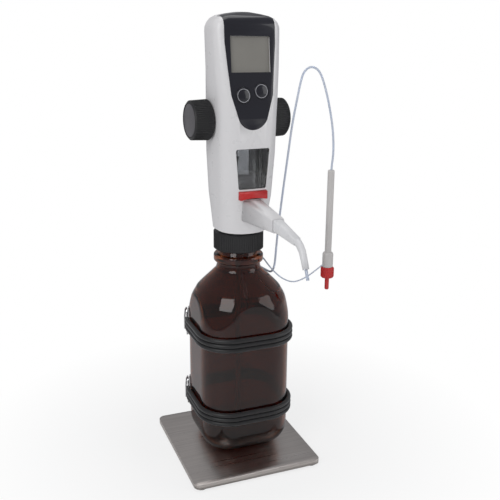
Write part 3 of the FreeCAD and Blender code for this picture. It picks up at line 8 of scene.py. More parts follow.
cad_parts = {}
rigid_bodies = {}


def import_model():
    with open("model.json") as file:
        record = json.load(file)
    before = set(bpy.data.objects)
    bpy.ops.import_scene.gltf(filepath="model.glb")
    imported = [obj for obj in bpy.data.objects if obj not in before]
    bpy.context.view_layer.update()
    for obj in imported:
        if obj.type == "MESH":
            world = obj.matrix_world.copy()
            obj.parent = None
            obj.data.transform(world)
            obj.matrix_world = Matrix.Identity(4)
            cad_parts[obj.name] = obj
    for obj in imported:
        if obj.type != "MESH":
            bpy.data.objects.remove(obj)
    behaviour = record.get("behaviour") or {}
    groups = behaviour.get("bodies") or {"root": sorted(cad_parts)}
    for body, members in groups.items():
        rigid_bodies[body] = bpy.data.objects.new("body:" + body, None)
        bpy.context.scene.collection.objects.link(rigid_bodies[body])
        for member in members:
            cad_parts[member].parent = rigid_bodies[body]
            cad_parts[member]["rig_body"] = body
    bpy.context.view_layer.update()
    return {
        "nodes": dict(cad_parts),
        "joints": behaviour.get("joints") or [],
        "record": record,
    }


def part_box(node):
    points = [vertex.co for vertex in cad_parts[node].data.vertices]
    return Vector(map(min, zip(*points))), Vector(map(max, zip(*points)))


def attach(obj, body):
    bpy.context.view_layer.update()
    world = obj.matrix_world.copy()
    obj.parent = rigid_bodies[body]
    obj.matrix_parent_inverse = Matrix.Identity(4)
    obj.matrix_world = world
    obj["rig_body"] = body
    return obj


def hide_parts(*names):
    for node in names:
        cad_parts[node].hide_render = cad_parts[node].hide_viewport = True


# Digital burette on an amber bottle, strapped upright on a brushed steel plate.
# Sizes in this script are millimetres, turned into metres by MM where they reach a mesh.

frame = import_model()
nodes = frame["nodes"]
joints = {joint["name"]: joint for joint in frame["joints"]}
MM = 0.001

# Edges sharper than this many degrees stay crisp, where a piece names no other angle
SHARP_ANGLE = 35

# The head is turned on the bottle, so its shaft gives its own right-hand side
HEAD_RIGHT = -Vector(joints["knob_turn"]["axis"]).normalized()
HEAD_TURN = math.atan2(HEAD_RIGHT.y, HEAD_RIGHT.x)

# Crown of the head: (rise above the mouth, half width, back) of its levels
CROWN_LEVELS = [
    (219, 37.4, 21), (223.5, 37.2, 20.8), (228, 35.6, 19.6), (231.7, 32.5, 17.6), (234, 27.9, 15),
    (236, 19.8, 11.5), (237.7, 8, 8),
]
# The solid's corner radius, the rounder one that is wanted, and the smallest that is left
CROWN_TIGHT, CROWN_ROUND, CROWN_LEAST = 10, 20.5, 0.5
# The round may reach this far past the head's middle plane
CROWN_PAST_MIDDLE = 2
# Heights this near above a level still belong to it: at the crown's foot, and at the levels above
FOOT_ROOM, LEVEL_ROOM = 0.5, 0.4
# The head's wall, and how deep a point lies that belongs to the wall's inner skin
HEAD_WALL, INNER_SKIN = 2.5, 1.2

# Mounting ring
RING_LOW, RING_TOP = 245, 266
RING_RADIUS, RING_RIB, RING_RIB_WIDTH, RING_RIBS = 28.1, 0.55, 0.8, 72
RING_HOLE, RING_LIP_HOLE, RING_LIP = 22.7, 17.9, 3.4
RING_BEVEL = 1.0

# Hand wheels; the wall is what the shaft's blind hole leaves towards the outer face
WHEEL_START, WHEEL_LENGTH, WHEEL_WALL = 34, 21.5, 7
WHEEL_INNER, WHEEL_OUTER = 21.7, 20.7
WHEEL_RIB, WHEEL_RIB_WIDTH, WHEEL_RIBS = 0.5, 0.62, 60
WHEEL_BEVEL, WHEEL_FACE, WHEEL_SINK = 1.4, 17.5, 1.2
SHAFT_RADIUS = 4

# Straps: the strands, their distance from the glass, and the clasp's place on the back left corner
STRAND_RADIUS, STRAND_PITCH, STRAP_GAP = 2.5, 5.4, 0.3
STRAP_STRANDS = 3
CLASP_GAP = 17
CLASP_TURN = math.radians(150)
STRAP_LEVELS = {"upper_strap": 149.5, "lower_strap": 60}

# Bottle: the body's square section, the heel, the shoulder's profile and the neck
BOTTLE_HALF, BOTTLE_CORNER = 52, 33
PLATE_TOP, SHOULDER_LOW, NECK_LOW, MOUTH = 9, 164, 228, 260
BOTTLE_WALL, BOTTLE_FLOOR, BOTTLE_HEEL = 3.5, 5, 25
NECK_RADIUS, FINISH_RADIUS, MOUTH_RADIUS = 24.5, 22.4, 17
BEAD_RADIUS, BEAD_RISE, BEAD_HEIGHT, BEAD_ROUND = 28.1, 2.5, 9, 2.4
SHOULDER_DROP = 35.4
# (share of the way in, share of the way up)
SHOULDER = [
    (0, 0), (0.11, 0.25), (0.18, 0.39), (0.30, 0.51), (0.397, 0.588), (0.893, 0.862), (0.975, 0.925),
    (1, 1),
]
# Steps of each corner, straight side, heel, stretch of the shoulder and quarter of the bead
CORNER_STEPS, SIDE_STEPS, HEEL_STEPS, SHOULDER_STEPS, BEAD_STEPS = 14, 5, 12, 5, 6

# Remote handle: its axis, its rod with the tube's socket, and its collar
HANDLE_X, HANDLE_Y = 100.2, -26.7
HANDLE_LOW, HANDLE_TOP, HANDLE_RADIUS = 236.6, 332, 3.8
SOCKET_DEPTH, SOCKET_ROOM = 6, 1.06
COLLAR_LOW, COLLAR_RADIUS = 218.9, 6.2

# Red turning cap on the remote handle, with the stem below it
CAP_LOW, CAP_HEIGHT, CAP_RADIUS, CAP_BEVEL = 206.3, 12.6, 7.7, 0.8
CAP_RIB, CAP_RIB_WIDTH, CAP_RIBS, CAP_RIB_INSET = 0.4, 0.5, 24, 1.2
STEM_RADIUS, STEM_HEIGHT = 2.5, 14.7

# Feet, face discs of the hand wheels, and the rings printed on the keys
FOOT_RADIUS, FOOT_HEIGHT, FOOT_BEVEL = 6.3, 3, 0.8
DISC_THICK = 1.0
LINE_INNER, LINE_OUTER, LINE_RISE = 6.4, 6.9, 0.06

# Routes of the two flexible tubes, from the gland, which they leave at its low face, to the handle
DISCHARGE_RADIUS, THIN_RADIUS = 1.2, 0.8
DISCHARGE_ROUTE = [
    (9.7, 37.7, 277), (9.7, 37.7, 264), (10.5, 38.2, 246), (14, 38.5, 230), (22, 34.5, 218),
    (33, 24, 213.5), (39, 10, 210.5), (41, 0.5, 210.5), (42.2, -4.5, 216.5), (43.5, -5, 226),
    (44.3, -5.1, 239), (45.9, -5.8, 262), (47.6, -7.6, 285), (49.2, -10.2, 309), (51, -12.5, 331.5),
    (53.4, -14.5, 357.7), (56.1, -15.5, 383),
    (60.6, -17.4, 411), (63.4, -18.2, 427), (66.2, -18.9, 437.6), (72, -20.2, 443.2), (78.5, -21.6, 443),
    (84.5, -23, 437.4), (89, -24.2, 425.5), (94.5, -25.5, 406), (100.2, -26.7, 378), (102, -27.3, 352),
    (100.2, -26.7, 334), (100.2, -26.7, 326.5),
]
THIN_ROUTE = [
    (2.7, 37.2, 277), (2.7, 37.2, 262), (6, 37.5, 246), (14, 33.5, 237), (23, 22, 232), (29.5, 9, 230.5),
    (31, 0.5, 229), (34.8, -5, 222), (40.7, -9.4, 214.1), (47.3, -12, 207.7), (54.8, -13, 203),
    (62.8, -14.1, 200.4), (71.1, -15.2, 202), (79.6, -18.6, 207.3), (87, -21.6, 213.8), (96.9, -25.4, 223),
]


# Materials

class Finish:
    """A node material under construction: its tree, its surface shader and short ways to add nodes."""

    def __init__(self, name, colour, roughness, **settings):
        self.material = bpy.data.materials.new(name)
        self.material.use_nodes = True
        self.tree = self.material.node_tree
        self.surface = self.tree.nodes["Principled BSDF"]
        self.surface.inputs["Base Color"].default_value = (*colour, 1)
        self.surface.inputs["Roughness"].default_value = roughness
        for socket, value in settings.items():
            self.surface.inputs[socket.replace("_", " ")].default_value = value

    def add(self, kind, **values):
        node = self.tree.nodes.new(kind)
        for name, value in values.items():
            socket = node.inputs.get(name.replace("_", " "))
            if socket is not None:
                socket.default_value = value
            else:
                setattr(node, name, value)
        return node

    def link(self, start, end):
        self.tree.links.new(start, end)

    def place(self, scale=(1, 1, 1)):
        """The piece's own coordinates, stretched."""
        coordinates = self.add("ShaderNodeTexCoord")
        mapping = self.add("ShaderNodeMapping")
        mapping.inputs["Scale"].default_value = scale
        self.link(coordinates.outputs["Object"], mapping.inputs["Vector"])
        return mapping.outputs["Vector"]

    def noise(self, scale, detail=3, stretch=(1, 1, 1), rough=0.5):
        grain = self.add("ShaderNodeTexNoise")
        grain.inputs["Scale"].default_value = scale
        grain.inputs["Detail"].default_value = detail
        grain.inputs["Roughness"].default_value = rough
        self.link(self.place(stretch), grain.inputs["Vector"])
        return grain.outputs["Fac"]

    def vary(self, socket, fac, low, high):
        """Drives a number between two values by a pattern."""
        span = self.add("ShaderNodeMapRange")
        span.inputs["From Min"].default_value = 0.3
        span.inputs["From Max"].default_value = 0.7
        span.inputs["To Min"].default_value = low
        span.inputs["To Max"].default_value = high
        self.link(fac, span.inputs["Value"])
        self.link(span.outputs["Result"], self.surface.inputs[socket])

    def tint(self, fac, dark, light, low=0.3, high=0.7):
        """Blends the base colour between two by a pattern."""
        ramp = self.add("ShaderNodeValToRGB")
        ramp.color_ramp.elements[0].position = low
        ramp.color_ramp.elements[0].color = (*dark, 1)
        ramp.color_ramp.elements[1].position = high
        ramp.color_ramp.elements[1].color = (*light, 1)
        self.link(fac, ramp.inputs["Fac"])
        self.link(ramp.outputs["Color"], self.surface.inputs["Base Color"])

    def bump(self, fac, height, strength=0.3):
        """Raises the surface by a pattern, by a height in millimetres."""
        relief = self.add("ShaderNodeBump")
        relief.inputs["Strength"].default_value = strength
        relief.inputs["Distance"].default_value = height * MM
        self.link(fac, relief.inputs["Height"])
        self.link(relief.outputs["Normal"], self.surface.inputs["Normal"])


def moulded(name, colour, roughness, grain=1400, relief=0.03, shade=0.94, **settings):
    """Moulded plastic: an even colour with a faint cloud in it, a fine skin and uneven gloss."""
    finish = Finish(name, colour, roughness, **settings)
    finish.tint(finish.noise(35, 2), [c * shade for c in colour], colour)
    finish.vary("Roughness", finish.noise(120, 3), roughness * 0.88, roughness * 1.15)
    finish.bump(finish.noise(grain, 2), relief, 0.25)
    return finish.material


def polished_panel(name, colour):
    """Back-printed clear cover: deep colour under a mirror-smooth coat."""
    finish = Finish(name, colour, 0.3, Coat_Weight=0.7, Coat_Roughness=0.05, Specular_IOR_Level=0.25)
    finish.tint(finish.noise(18, 2), [c * 0.8 for c in colour], [c * 1.15 for c in colour])
    finish.bump(finish.noise(60, 1), 0.02, 0.08)
    return finish.material


def brushed_plate(name):
    """Stainless sheet, brushed across the width in fine uneven strokes."""
    finish = Finish(name, (0.5, 0.46, 0.43), 0.34, Metallic=1.0, Anisotropic=0.4)
    strokes = finish.noise(900, 4, (0.012, 1, 1), 0.6)
    finish.tint(strokes, (0.50, 0.46, 0.435), (0.70, 0.655, 0.62), 0.25, 0.75)
    finish.vary("Roughness", finish.noise(500, 3, (0.02, 1, 1)), 0.27, 0.45)
    finish.bump(strokes, 0.02, 0.35)
    return finish.material


def metal(name, colour, roughness, grain=(1, 1, 1)):
    """Bare metal, with a faint grain in its tone and its gloss."""
    finish = Finish(name, colour, roughness, Metallic=1.0)
    pattern = finish.noise(600, 2, grain)
    finish.vary("Roughness", pattern, roughness * 0.8, roughness * 1.3)
    finish.tint(pattern, [c * 0.92 for c in colour], colour)
    return finish.material


def glass(name, colour, roughness, wave=0):
    """Clear or stained glass. The wave is the slow unevenness of a blown wall, in millimetres."""
    finish = Finish(name, colour, roughness, IOR=1.5, Transmission_Weight=1.0)
    finish.tint(finish.noise(9, 2), [c * 0.9 for c in colour], colour)
    if wave:
        finish.bump(finish.noise(28, 2), wave, 0.4)
    return finish.material


def clear_tube(name):
    """Thin polymer tube: a quarter see-through and the rest milky, so that it shows on a pale ground."""
    finish = Finish(name, (0.72, 0.78, 0.9), 0.18, IOR=1.35, Transmission_Weight=0.25, Coat_Weight=0.5)
    finish.tint(finish.noise(40, 2), (0.66, 0.73, 0.87), (0.78, 0.83, 0.93))
    finish.vary("Roughness", finish.noise(200, 2), 0.14, 0.24)
    return finish.material


def rubber(name, colour, roughness):
    """Black or dark rubber with a soft skin."""
    finish = Finish(name, colour, roughness, Sheen_Weight=0.15)
    finish.tint(finish.noise(90, 3), [c * 0.75 for c in colour], colour)
    finish.bump(finish.noise(800, 2), 0.04, 0.35)
    return finish.material


# One finish for each slot of the record
finishes = {
    "plate_steel": brushed_plate("Brushed steel sheet"),
    "foot_rubber": rubber("Foot rubber", (0.022, 0.022, 0.022), 0.7),
    "amber_glass": glass("Amber glass", (0.175, 0.048, 0.016), 0.02, wave=0.5),
    "strap_rubber": rubber("Strap rubber", (0.010, 0.010, 0.011), 0.42),
    "clasp_wire": metal("Bright wire", (0.72, 0.72, 0.73), 0.14),
    "ring_black": moulded("Black ring", (0.014, 0.014, 0.015), 0.42, shade=0.8),
    "housing_white": moulded(
        "White housing", (0.79, 0.78, 0.785), 0.3, 1500, 0.004, 0.99, Coat_Weight=0.15, Coat_Roughness=0.1,
    ),
    "panel_dark": polished_panel("Dark cover", (0.010, 0.010, 0.017)),
    "screen_grey": moulded(
        "Blank screen", (0.25, 0.24, 0.215), 0.16, 2600, 0.01, 0.93, Coat_Weight=1.0, Coat_Roughness=0.05,
    ),
    "board_green": moulded("Board lacquer", (0.02, 0.12, 0.05), 0.3),
    "clear_glass": glass("Clear glass", (0.96, 0.97, 0.98), 0.01),
    "bush_white": moulded("Turned polymer", (0.7, 0.7, 0.68), 0.45),
    "block_white": moulded("Block polymer", (0.78, 0.78, 0.76), 0.4, 500, 0.05),
    "frame_metal": metal("Machined alloy", (0.62, 0.62, 0.63), 0.3),
    "shaft_steel": metal("Ground steel", (0.56, 0.56, 0.57), 0.22, (1, 1, 0.1)),
    "tube_clear": clear_tube("Clear tube"),
    "tray_plastic": moulded("Tray plastic", (0.04, 0.04, 0.045), 0.5),
    "cell_jacket": moulded("Cell jacket", (0.1, 0.1, 0.11), 0.25),
    "handle_grey": moulded("Handle plastic", (0.63, 0.61, 0.595), 0.34, 700, 0.01, 0.97),
    "pinion_brass": metal("Pinion brass", (0.75, 0.55, 0.28), 0.25),
    "knob_black": moulded("Wheel black", (0.016, 0.016, 0.017), 0.45, shade=0.8),
    "knob_face": moulded("Wheel face", (0.115, 0.11, 0.118), 0.33, 900, 0.03, 0.9),
    "piston_dark": moulded("Piston polymer", (0.05, 0.045, 0.05), 0.3),
    "seal_rubber": rubber("Seal rubber", (0.05, 0.05, 0.05), 0.5),
    "spout_white": moulded("Spout white", (0.78, 0.78, 0.79), 0.28, 1500, 0.004, 0.98),
    "signal_red": moulded("Signal red", (0.62, 0.03, 0.03), 0.28, 900, 0.03, 0.92),
}
key_line = moulded("Key line", (0.45, 0.45, 0.48), 0.35)


def paint(piece, material):
    piece.data.materials.clear()
    piece.data.materials.append(material)


# Building aids

def new_piece(name, mesh):
    piece = bpy.data.objects.new(name, mesh)
    bpy.context.scene.collection.objects.link(piece)
    return piece


def smooth(mesh, angle):
    """Smooth shading, with edges sharper than the angle kept crisp."""
    for face in mesh.polygons:
        face.use_smooth = True
    mesh.set_sharp_from_angle(angle=math.radians(angle))


def stand_for(piece, body, node):
    """Lets a piece ride a body in place of a node, and hides the node."""
    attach(piece, body)
    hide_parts(node)


def finished_node(name, angle):
    """A node's own shape with its faces joined and smoothly shaded, standing for the node."""
    source = nodes[name]
    form = bmesh.new()
    form.from_mesh(source.data)
    bmesh.ops.remove_doubles(form, verts=form.verts, dist=0.00001)
    bmesh.ops.dissolve_degenerate(form, edges=form.edges, dist=0.000005)
    mesh = bpy.data.meshes.new(name + "_finish")
    form.to_mesh(mesh)
    form.free()
    smooth(mesh, angle)
    piece = new_piece(name + "_finish", mesh)
    paint(piece, finishes[slots[name]])
    stand_for(piece, source["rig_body"], name)
    return piece


def turned_mesh(name, profile, steps=96, closed=True):
    """A solid of revolution about Z from (radius, height) points in millimetres."""
    form = bmesh.new()
    rows = []
    for radius, height in profile:
        if radius < 1e-6:
            rows.append([form.verts.new((0, 0, height * MM))])
            continue
        row = []
        for step in range(steps):
            angle = 2 * math.pi * step / steps
            x, y = radius * MM * math.cos(angle), radius * MM * math.sin(angle)
            row.append(form.verts.new((x, y, height * MM)))
        rows.append(row)
    pairs = list(zip(rows, rows[1:] + rows[:1])) if closed else list(zip(rows, rows[1:]))
    for first, second in pairs:
        if len(first) == 1 and len(second) == 1:
            continue
        for step in range(steps):
            following = (step + 1) % steps
            corners = []
            for vertex in (
                first[step % len(first)], first[following % len(first)],
                second[following % len(second)], second[step % len(second)],
            ):
                if vertex not in corners:
                    corners.append(vertex)
            form.faces.new(corners)
    bmesh.ops.recalc_face_normals(form, faces=form.faces)
    mesh = bpy.data.meshes.new(name)
    form.to_mesh(mesh)
    form.free()
    return mesh


# Geometry node trees

def tree_with(name, inputs):
    """An empty geometry tree with named inputs of (name, socket type, default)."""
    tree = bpy.data.node_groups.new(name, "GeometryNodeTree")
    tree.interface.new_socket("Geometry", in_out="INPUT", socket_type="NodeSocketGeometry")
    for label, kind, value in inputs:
        socket = tree.interface.new_socket(label, in_out="INPUT", socket_type=kind)
        if value is not None:
            socket.default_value = value
    tree.interface.new_socket("Geometry", in_out="OUTPUT", socket_type="NodeSocketGeometry")
    entry = tree.nodes.new("NodeGroupInput")
    leave = tree.nodes.new("NodeGroupOutput")
    return tree, entry, leave


def ribs_tree():
    """Adds upright ribs all round a turned core, then gives the whole one material."""
    tree, entry, leave = tree_with("Ribs all round", [
        ("Count", "NodeSocketInt", 60),
        ("Radius", "NodeSocketFloat", 0.02),
        ("Rib Depth", "NodeSocketFloat", 0.001),
        ("Rib Width", "NodeSocketFloat", 0.001),
        ("Rib Length", "NodeSocketFloat", 0.01),
        ("Middle Height", "NodeSocketFloat", 0.0),
        ("Lean", "NodeSocketFloat", 0.0),
        ("Material", "NodeSocketMaterial", None),
    ])
    link = tree.links.new
    add = tree.nodes.new
    circle = add("GeometryNodeMeshCircle")
    link(entry.outputs["Count"], circle.inputs["Vertices"])
    link(entry.outputs["Radius"], circle.inputs["Radius"])
    raise_up = add("GeometryNodeTransform")
    height = add("ShaderNodeCombineXYZ")
    link(entry.outputs["Middle Height"], height.inputs["Z"])
    link(circle.outputs["Mesh"], raise_up.inputs["Geometry"])
    link(height.outputs["Vector"], raise_up.inputs["Translation"])
    # The rib is a six-sided bar with one edge pointing outwards
    bar = add("GeometryNodeMeshCylinder")
    bar.inputs["Vertices"].default_value = 6
    bar.inputs["Radius"].default_value = 1.0
    link(entry.outputs["Rib Length"], bar.inputs["Depth"])
    shape = add("GeometryNodeTransform")
    flat = add("ShaderNodeCombineXYZ")
    link(entry.outputs["Rib Depth"], flat.inputs["X"])
    link(entry.outputs["Rib Width"], flat.inputs["Y"])
    flat.inputs["Z"].default_value = 1.0
    leaning = add("ShaderNodeCombineXYZ")
    link(entry.outputs["Lean"], leaning.inputs["Y"])
    link(bar.outputs["Mesh"], shape.inputs["Geometry"])
    link(flat.outputs["Vector"], shape.inputs["Scale"])
    link(leaning.outputs["Vector"], shape.inputs["Rotation"])
    index = add("GeometryNodeInputIndex")
    share = add("ShaderNodeMath")
    share.operation = "DIVIDE"
    link(index.outputs["Index"], share.inputs[0])
    link(entry.outputs["Count"], share.inputs[1])
    turn = add("ShaderNodeMath")
    turn.operation = "MULTIPLY"
    turn.inputs[1].default_value = 2 * math.pi
    link(share.outputs["Value"], turn.inputs[0])
    facing = add("ShaderNodeCombineXYZ")
    link(turn.outputs["Value"], facing.inputs["Z"])
    spread = add("GeometryNodeInstanceOnPoints")
    link(raise_up.outputs["Geometry"], spread.inputs["Points"])
    link(shape.outputs["Geometry"], spread.inputs["Instance"])
    link(facing.outputs["Vector"], spread.inputs["Rotation"])
    join = add("GeometryNodeJoinGeometry")
    link(spread.outputs["Instances"], join.inputs["Geometry"])
    link(entry.outputs["Geometry"], join.inputs["Geometry"])
    real = add("GeometryNodeRealizeInstances")
    link(join.outputs["Geometry"], real.inputs["Geometry"])
    coat = add("GeometryNodeSetMaterial")
    link(real.outputs["Geometry"], coat.inputs["Geometry"])
    link(entry.outputs["Material"], coat.inputs["Material"])
    link(coat.outputs["Geometry"], leave.inputs["Geometry"])
    return tree


def strands_tree():
    """Sweeps a round strand along a path and stacks equal strands one above the other."""
    tree, entry, leave = tree_with("Stacked strands", [
        ("Strands", "NodeSocketInt", 3),
        ("Pitch", "NodeSocketFloat", 0.005),
        ("Radius", "NodeSocketFloat", 0.0025),
        ("Material", "NodeSocketMaterial", None),
    ])
    link = tree.links.new
    add = tree.nodes.new
    section = add("GeometryNodeCurvePrimitiveCircle")
    section.inputs["Resolution"].default_value = 20
    link(entry.outputs["Radius"], section.inputs["Radius"])
    sweep = add("GeometryNodeCurveToMesh")
    link(entry.outputs["Geometry"], sweep.inputs["Curve"])
    link(section.outputs["Curve"], sweep.inputs["Profile Curve"])
    sweep.inputs["Fill Caps"].default_value = True
    step = add("ShaderNodeCombineXYZ")
    link(entry.outputs["Pitch"], step.inputs["Z"])
    # The stack's middle strand stays on the path
    row = add("GeometryNodeMeshLine")
    row.mode = "OFFSET"
    link(entry.outputs["Strands"], row.inputs["Count"])
    link(step.outputs["Vector"], row.inputs["Offset"])
    less = add("ShaderNodeMath")
    less.operation = "SUBTRACT"
    less.inputs[1].default_value = 1
    link(entry.outputs["Strands"], less.inputs[0])
    half = add("ShaderNodeMath")
    half.operation = "MULTIPLY"
    half.inputs[1].default_value = -0.5
    link(less.outputs["Value"], half.inputs[0])
    drop = add("ShaderNodeMath")
    drop.operation = "MULTIPLY"
    link(half.outputs["Value"], drop.inputs[0])
    link(entry.outputs["Pitch"], drop.inputs[1])
    start = add("ShaderNodeCombineXYZ")
    link(drop.outputs["Value"], start.inputs["Z"])
    link(start.outputs["Vector"], row.inputs["Start Location"])
    spread = add("GeometryNodeInstanceOnPoints")
    link(row.outputs["Mesh"], spread.inputs["Points"])
    link(sweep.outputs["Mesh"], spread.inputs["Instance"])
    real = add("GeometryNodeRealizeInstances")
    link(spread.outputs["Instances"], real.inputs["Geometry"])
    coat = add("GeometryNodeSetMaterial")
    link(real.outputs["Geometry"], coat.inputs["Geometry"])
    link(entry.outputs["Material"], coat.inputs["Material"])
    link(coat.outputs["Geometry"], leave.inputs["Geometry"])
    return tree


RIBS = ribs_tree()
STRANDS = strands_tree()


def grown(name, base, tree, values, material, angle=SHARP_ANGLE):
    """Runs a geometry tree on a base object and returns its result as one plain mesh piece."""
    modifier = base.modifiers.new("Grow", "NODES")
    modifier.node_group = tree
    sockets = {item.name: item.identifier for item in tree.interface.items_tree if item.in_out == "INPUT"}
    for label, value in values.items():
        modifier[sockets[label]] = value
    modifier[sockets["Material"]] = material
    graph = bpy.context.evaluated_depsgraph_get()
    graph.update()
    mesh = bpy.data.meshes.new_from_object(base.evaluated_get(graph), depsgraph=graph)
    bpy.data.objects.remove(base)
    mesh.name = name
    smooth(mesh, angle)
    return new_piece(name, mesh)


slots = {entry["node"]: entry["material_slot"] for entry in frame["record"]["subparts"]}
for node_name, node in nodes.items():
    paint(node, finishes[slots[node_name]])

# Pieces whose own shape is right, joined and smoothly shaded
SMOOTH_NODES = [
    "housing_front", "housing_rear", "lower_shell", "display_panel", "battery_cover", "window_pane",
    "release_bar", "spout_sleeve", "spout_slide", "tip_tube", "base_plate", "barrel", "piston_head",
    "piston_seal", "gear_frame", "upper_clasp", "lower_clasp", "key_left", "key_right", "valve_block",
    "tube_gland", "drive_shaft", "suction_tube", "tie_rods", "battery_left", "battery_right",
]
# The spout's bends are drawn with fewer sides, so only their sharper edges are kept
SOFT_EDGES = {"spout_sleeve": 50, "spout_slide": 50, "tip_tube": 50}


def crown_corner(x, y, half, back, radius):
    """How far a point lies from the middle of its back corner, and that middle."""
    middle = Vector((math.copysign(half - radius, x), back - radius))
    return Vector((x, y)) - middle, middle


def soften_crown(piece):
    """Draws the crown's back corners, which the solids have too tight, in to the body's round."""
    turn = Matrix.Rotation(HEAD_TURN, 3, "Z")
    back_turn = turn.inverted()
    for vertex in piece.data.vertices:
        spot = back_turn @ vertex.co / MM
        rise = spot.z - MOUTH
        if rise <= CROWN_LEVELS[0][0] + FOOT_ROOM or spot.y <= 0:
            continue
        for low, high in zip(CROWN_LEVELS, CROWN_LEVELS[1:]):
            if rise <= high[0] + LEVEL_ROOM:
                break
        share = min(1, (rise - low[0]) / (high[0] - low[0]))
        half, back = (low[i] + (high[i] - low[i]) * share for i in (1, 2))
        # The depth below the solid's own corner tells the wall's outer skin from its inner one
        tight = min(CROWN_TIGHT, half - CROWN_LEAST)
        away, middle = crown_corner(spot.x, spot.y, half, back, tight)
        inside = tight - away.length if min(abs(spot.x) - half + tight, away.y) > 0 else 0
        inset = HEAD_WALL if inside > INNER_SKIN else 0
        wanted = min(CROWN_ROUND, half - CROWN_LEAST, back + CROWN_PAST_MIDDLE)
        radius = max(CROWN_LEAST, wanted - inset)
        away, middle = crown_corner(spot.x, spot.y, half - inset, back - inset, radius)
        if min(math.copysign(away.x, away.x * spot.x), away.y) > 0 and away.length > radius:
            drawn = middle + away.normalized() * radius
            vertex.co = turn @ (Vector((drawn.x, drawn.y, spot.z)) * MM)


for node_name in SMOOTH_NODES:
    finished = finished_node(node_name, SOFT_EDGES.get(node_name, SHARP_ANGLE))
    if node_name in ("housing_front", "housing_rear"):
        soften_crown(finished)


# Bottle
def eased(points, steps):
    """A smooth line of points through the given ones."""
    line = []
    count = len(points)
    for index in range(count - 1):
        ends = [Vector(points[max(0, index - 1)]), Vector(points[index])]
        ends += [Vector(points[index + 1]), Vector(points[min(count - 1, index + 2)])]
        first, second, third, fourth = ends
        for step in range(steps):
            t = step / steps
            linear = (third - first) * t
            square = (2 * first - 5 * second + 4 * third - fourth) * t * t
            cubic = (3 * second - first - 3 * third + fourth) * t * t * t
            line.append(0.5 * (2 * second + linear + square + cubic))
    return line + [Vector(points[-1])]


def bottle_ring(shrink, limit=math.inf):
    """A level ring of the square body with its round corners, held within a radius."""
    half, corner = BOTTLE_HALF - shrink, BOTTLE_CORNER - shrink
    flat = half - corner
    ring = []
    for quarter_turn in range(4):
        spots = [(half, flat * step / SIDE_STEPS) for step in range(SIDE_STEPS)]
        for step in range(CORNER_STEPS + 1):
            angle = math.pi / 2 * step / CORNER_STEPS
            spots.append((flat + corner * math.cos(angle), flat + corner * math.sin(angle)))
        spots += [(flat * step / SIDE_STEPS, half) for step in range(SIDE_STEPS - 1, 0, -1)]
        turn = math.pi / 2 * quarter_turn
        cosine, sine = math.cos(turn), math.sin(turn)
        for x, y in spots:
            share = min(1, limit / math.hypot(x, y)) * MM
            ring.append((share * (x * cosine - y * sine), share * (x * sine + y * cosine)))
    return ring


def bottle_rings(inset, floor, neck_profile):
    """Rings of one skin of the bottle, with their levels, from the floor to the mouth."""
    rings = []
    heel = BOTTLE_HEEL - inset
    low = PLATE_TOP + floor
    for step in range(HEEL_STEPS + 1):
        angle = math.pi / 2 * step / HEEL_STEPS
        rings.append((bottle_ring(inset + heel * (1 - math.sin(angle))), low + heel * (1 - math.cos(angle))))
    for share in (0.3, 0.6, 0.9):
        rings.append((bottle_ring(inset), low + heel + share * (SHOULDER_LOW - low - heel)))
    neck = NECK_RADIUS - inset
    for drop, rise in eased(SHOULDER, SHOULDER_STEPS):
        limit = neck + SHOULDER_DROP * (1 - drop)
        rings.append((bottle_ring(inset, limit), SHOULDER_LOW + (NECK_LOW - SHOULDER_LOW) * rise))
    for radius, level in neck_profile:
        rings.append((bottle_ring(inset, radius), level))
    return rings


def bottle():
    """The glass: an outer and an inner skin joined at the mouth."""
    bead_low = NECK_LOW + BEAD_RISE
    bead_top = bead_low + BEAD_HEIGHT
    rim = BEAD_RADIUS - BEAD_ROUND
    neck = [(NECK_RADIUS, NECK_LOW + 1), (NECK_RADIUS, bead_low - 0.6), (NECK_RADIUS + 0.5, bead_low)]
    for centre, begin in ((bead_low + BEAD_ROUND, -90), (bead_top - BEAD_ROUND, 0)):
        for step in range(BEAD_STEPS + 1):
            angle = math.radians(begin + 90 * step / BEAD_STEPS)
            neck.append((rim + BEAD_ROUND * math.cos(angle), centre + BEAD_ROUND * math.sin(angle)))
    neck += [(FINISH_RADIUS + 0.4, bead_top), (FINISH_RADIUS, bead_top + 0.5), (FINISH_RADIUS, MOUTH - 0.6)]
    neck += [(FINISH_RADIUS - 0.2, MOUTH - 0.15), (FINISH_RADIUS - 0.6, MOUTH)]
    bore = [(NECK_RADIUS - BOTTLE_WALL, NECK_LOW + 2)]
    bore += [(MOUTH_RADIUS + 2, NECK_LOW + 4), (MOUTH_RADIUS, NECK_LOW + 7)]
    bore += [(MOUTH_RADIUS, MOUTH - 0.6), (MOUTH_RADIUS + 0.2, MOUTH - 0.15), (MOUTH_RADIUS + 0.6, MOUTH)]
    rings = bottle_rings(0, 0, neck) + bottle_rings(BOTTLE_WALL, BOTTLE_FLOOR, bore)[::-1]
    form = bmesh.new()
    rows = [[form.verts.new((x, y, level * MM)) for x, y in ring] for ring, level in rings]
    for first, second in zip(rows, rows[1:]):
        for here in range(len(first)):
            there = (here + 1) % len(first)
            form.faces.new((first[here], first[there], second[there], second[here]))
    form.faces.new(rows[0][::-1])
    form.faces.new(rows[-1])
    bmesh.ops.recalc_face_normals(form, faces=form.faces)
    mesh = bpy.data.meshes.new("bottle_finish")
    form.to_mesh(mesh)
    form.free()
    smooth(mesh, angle=50)
    piece = new_piece("bottle_finish", mesh)
    paint(piece, finishes["amber_glass"])
    stand_for(piece, "stand", "bottle")


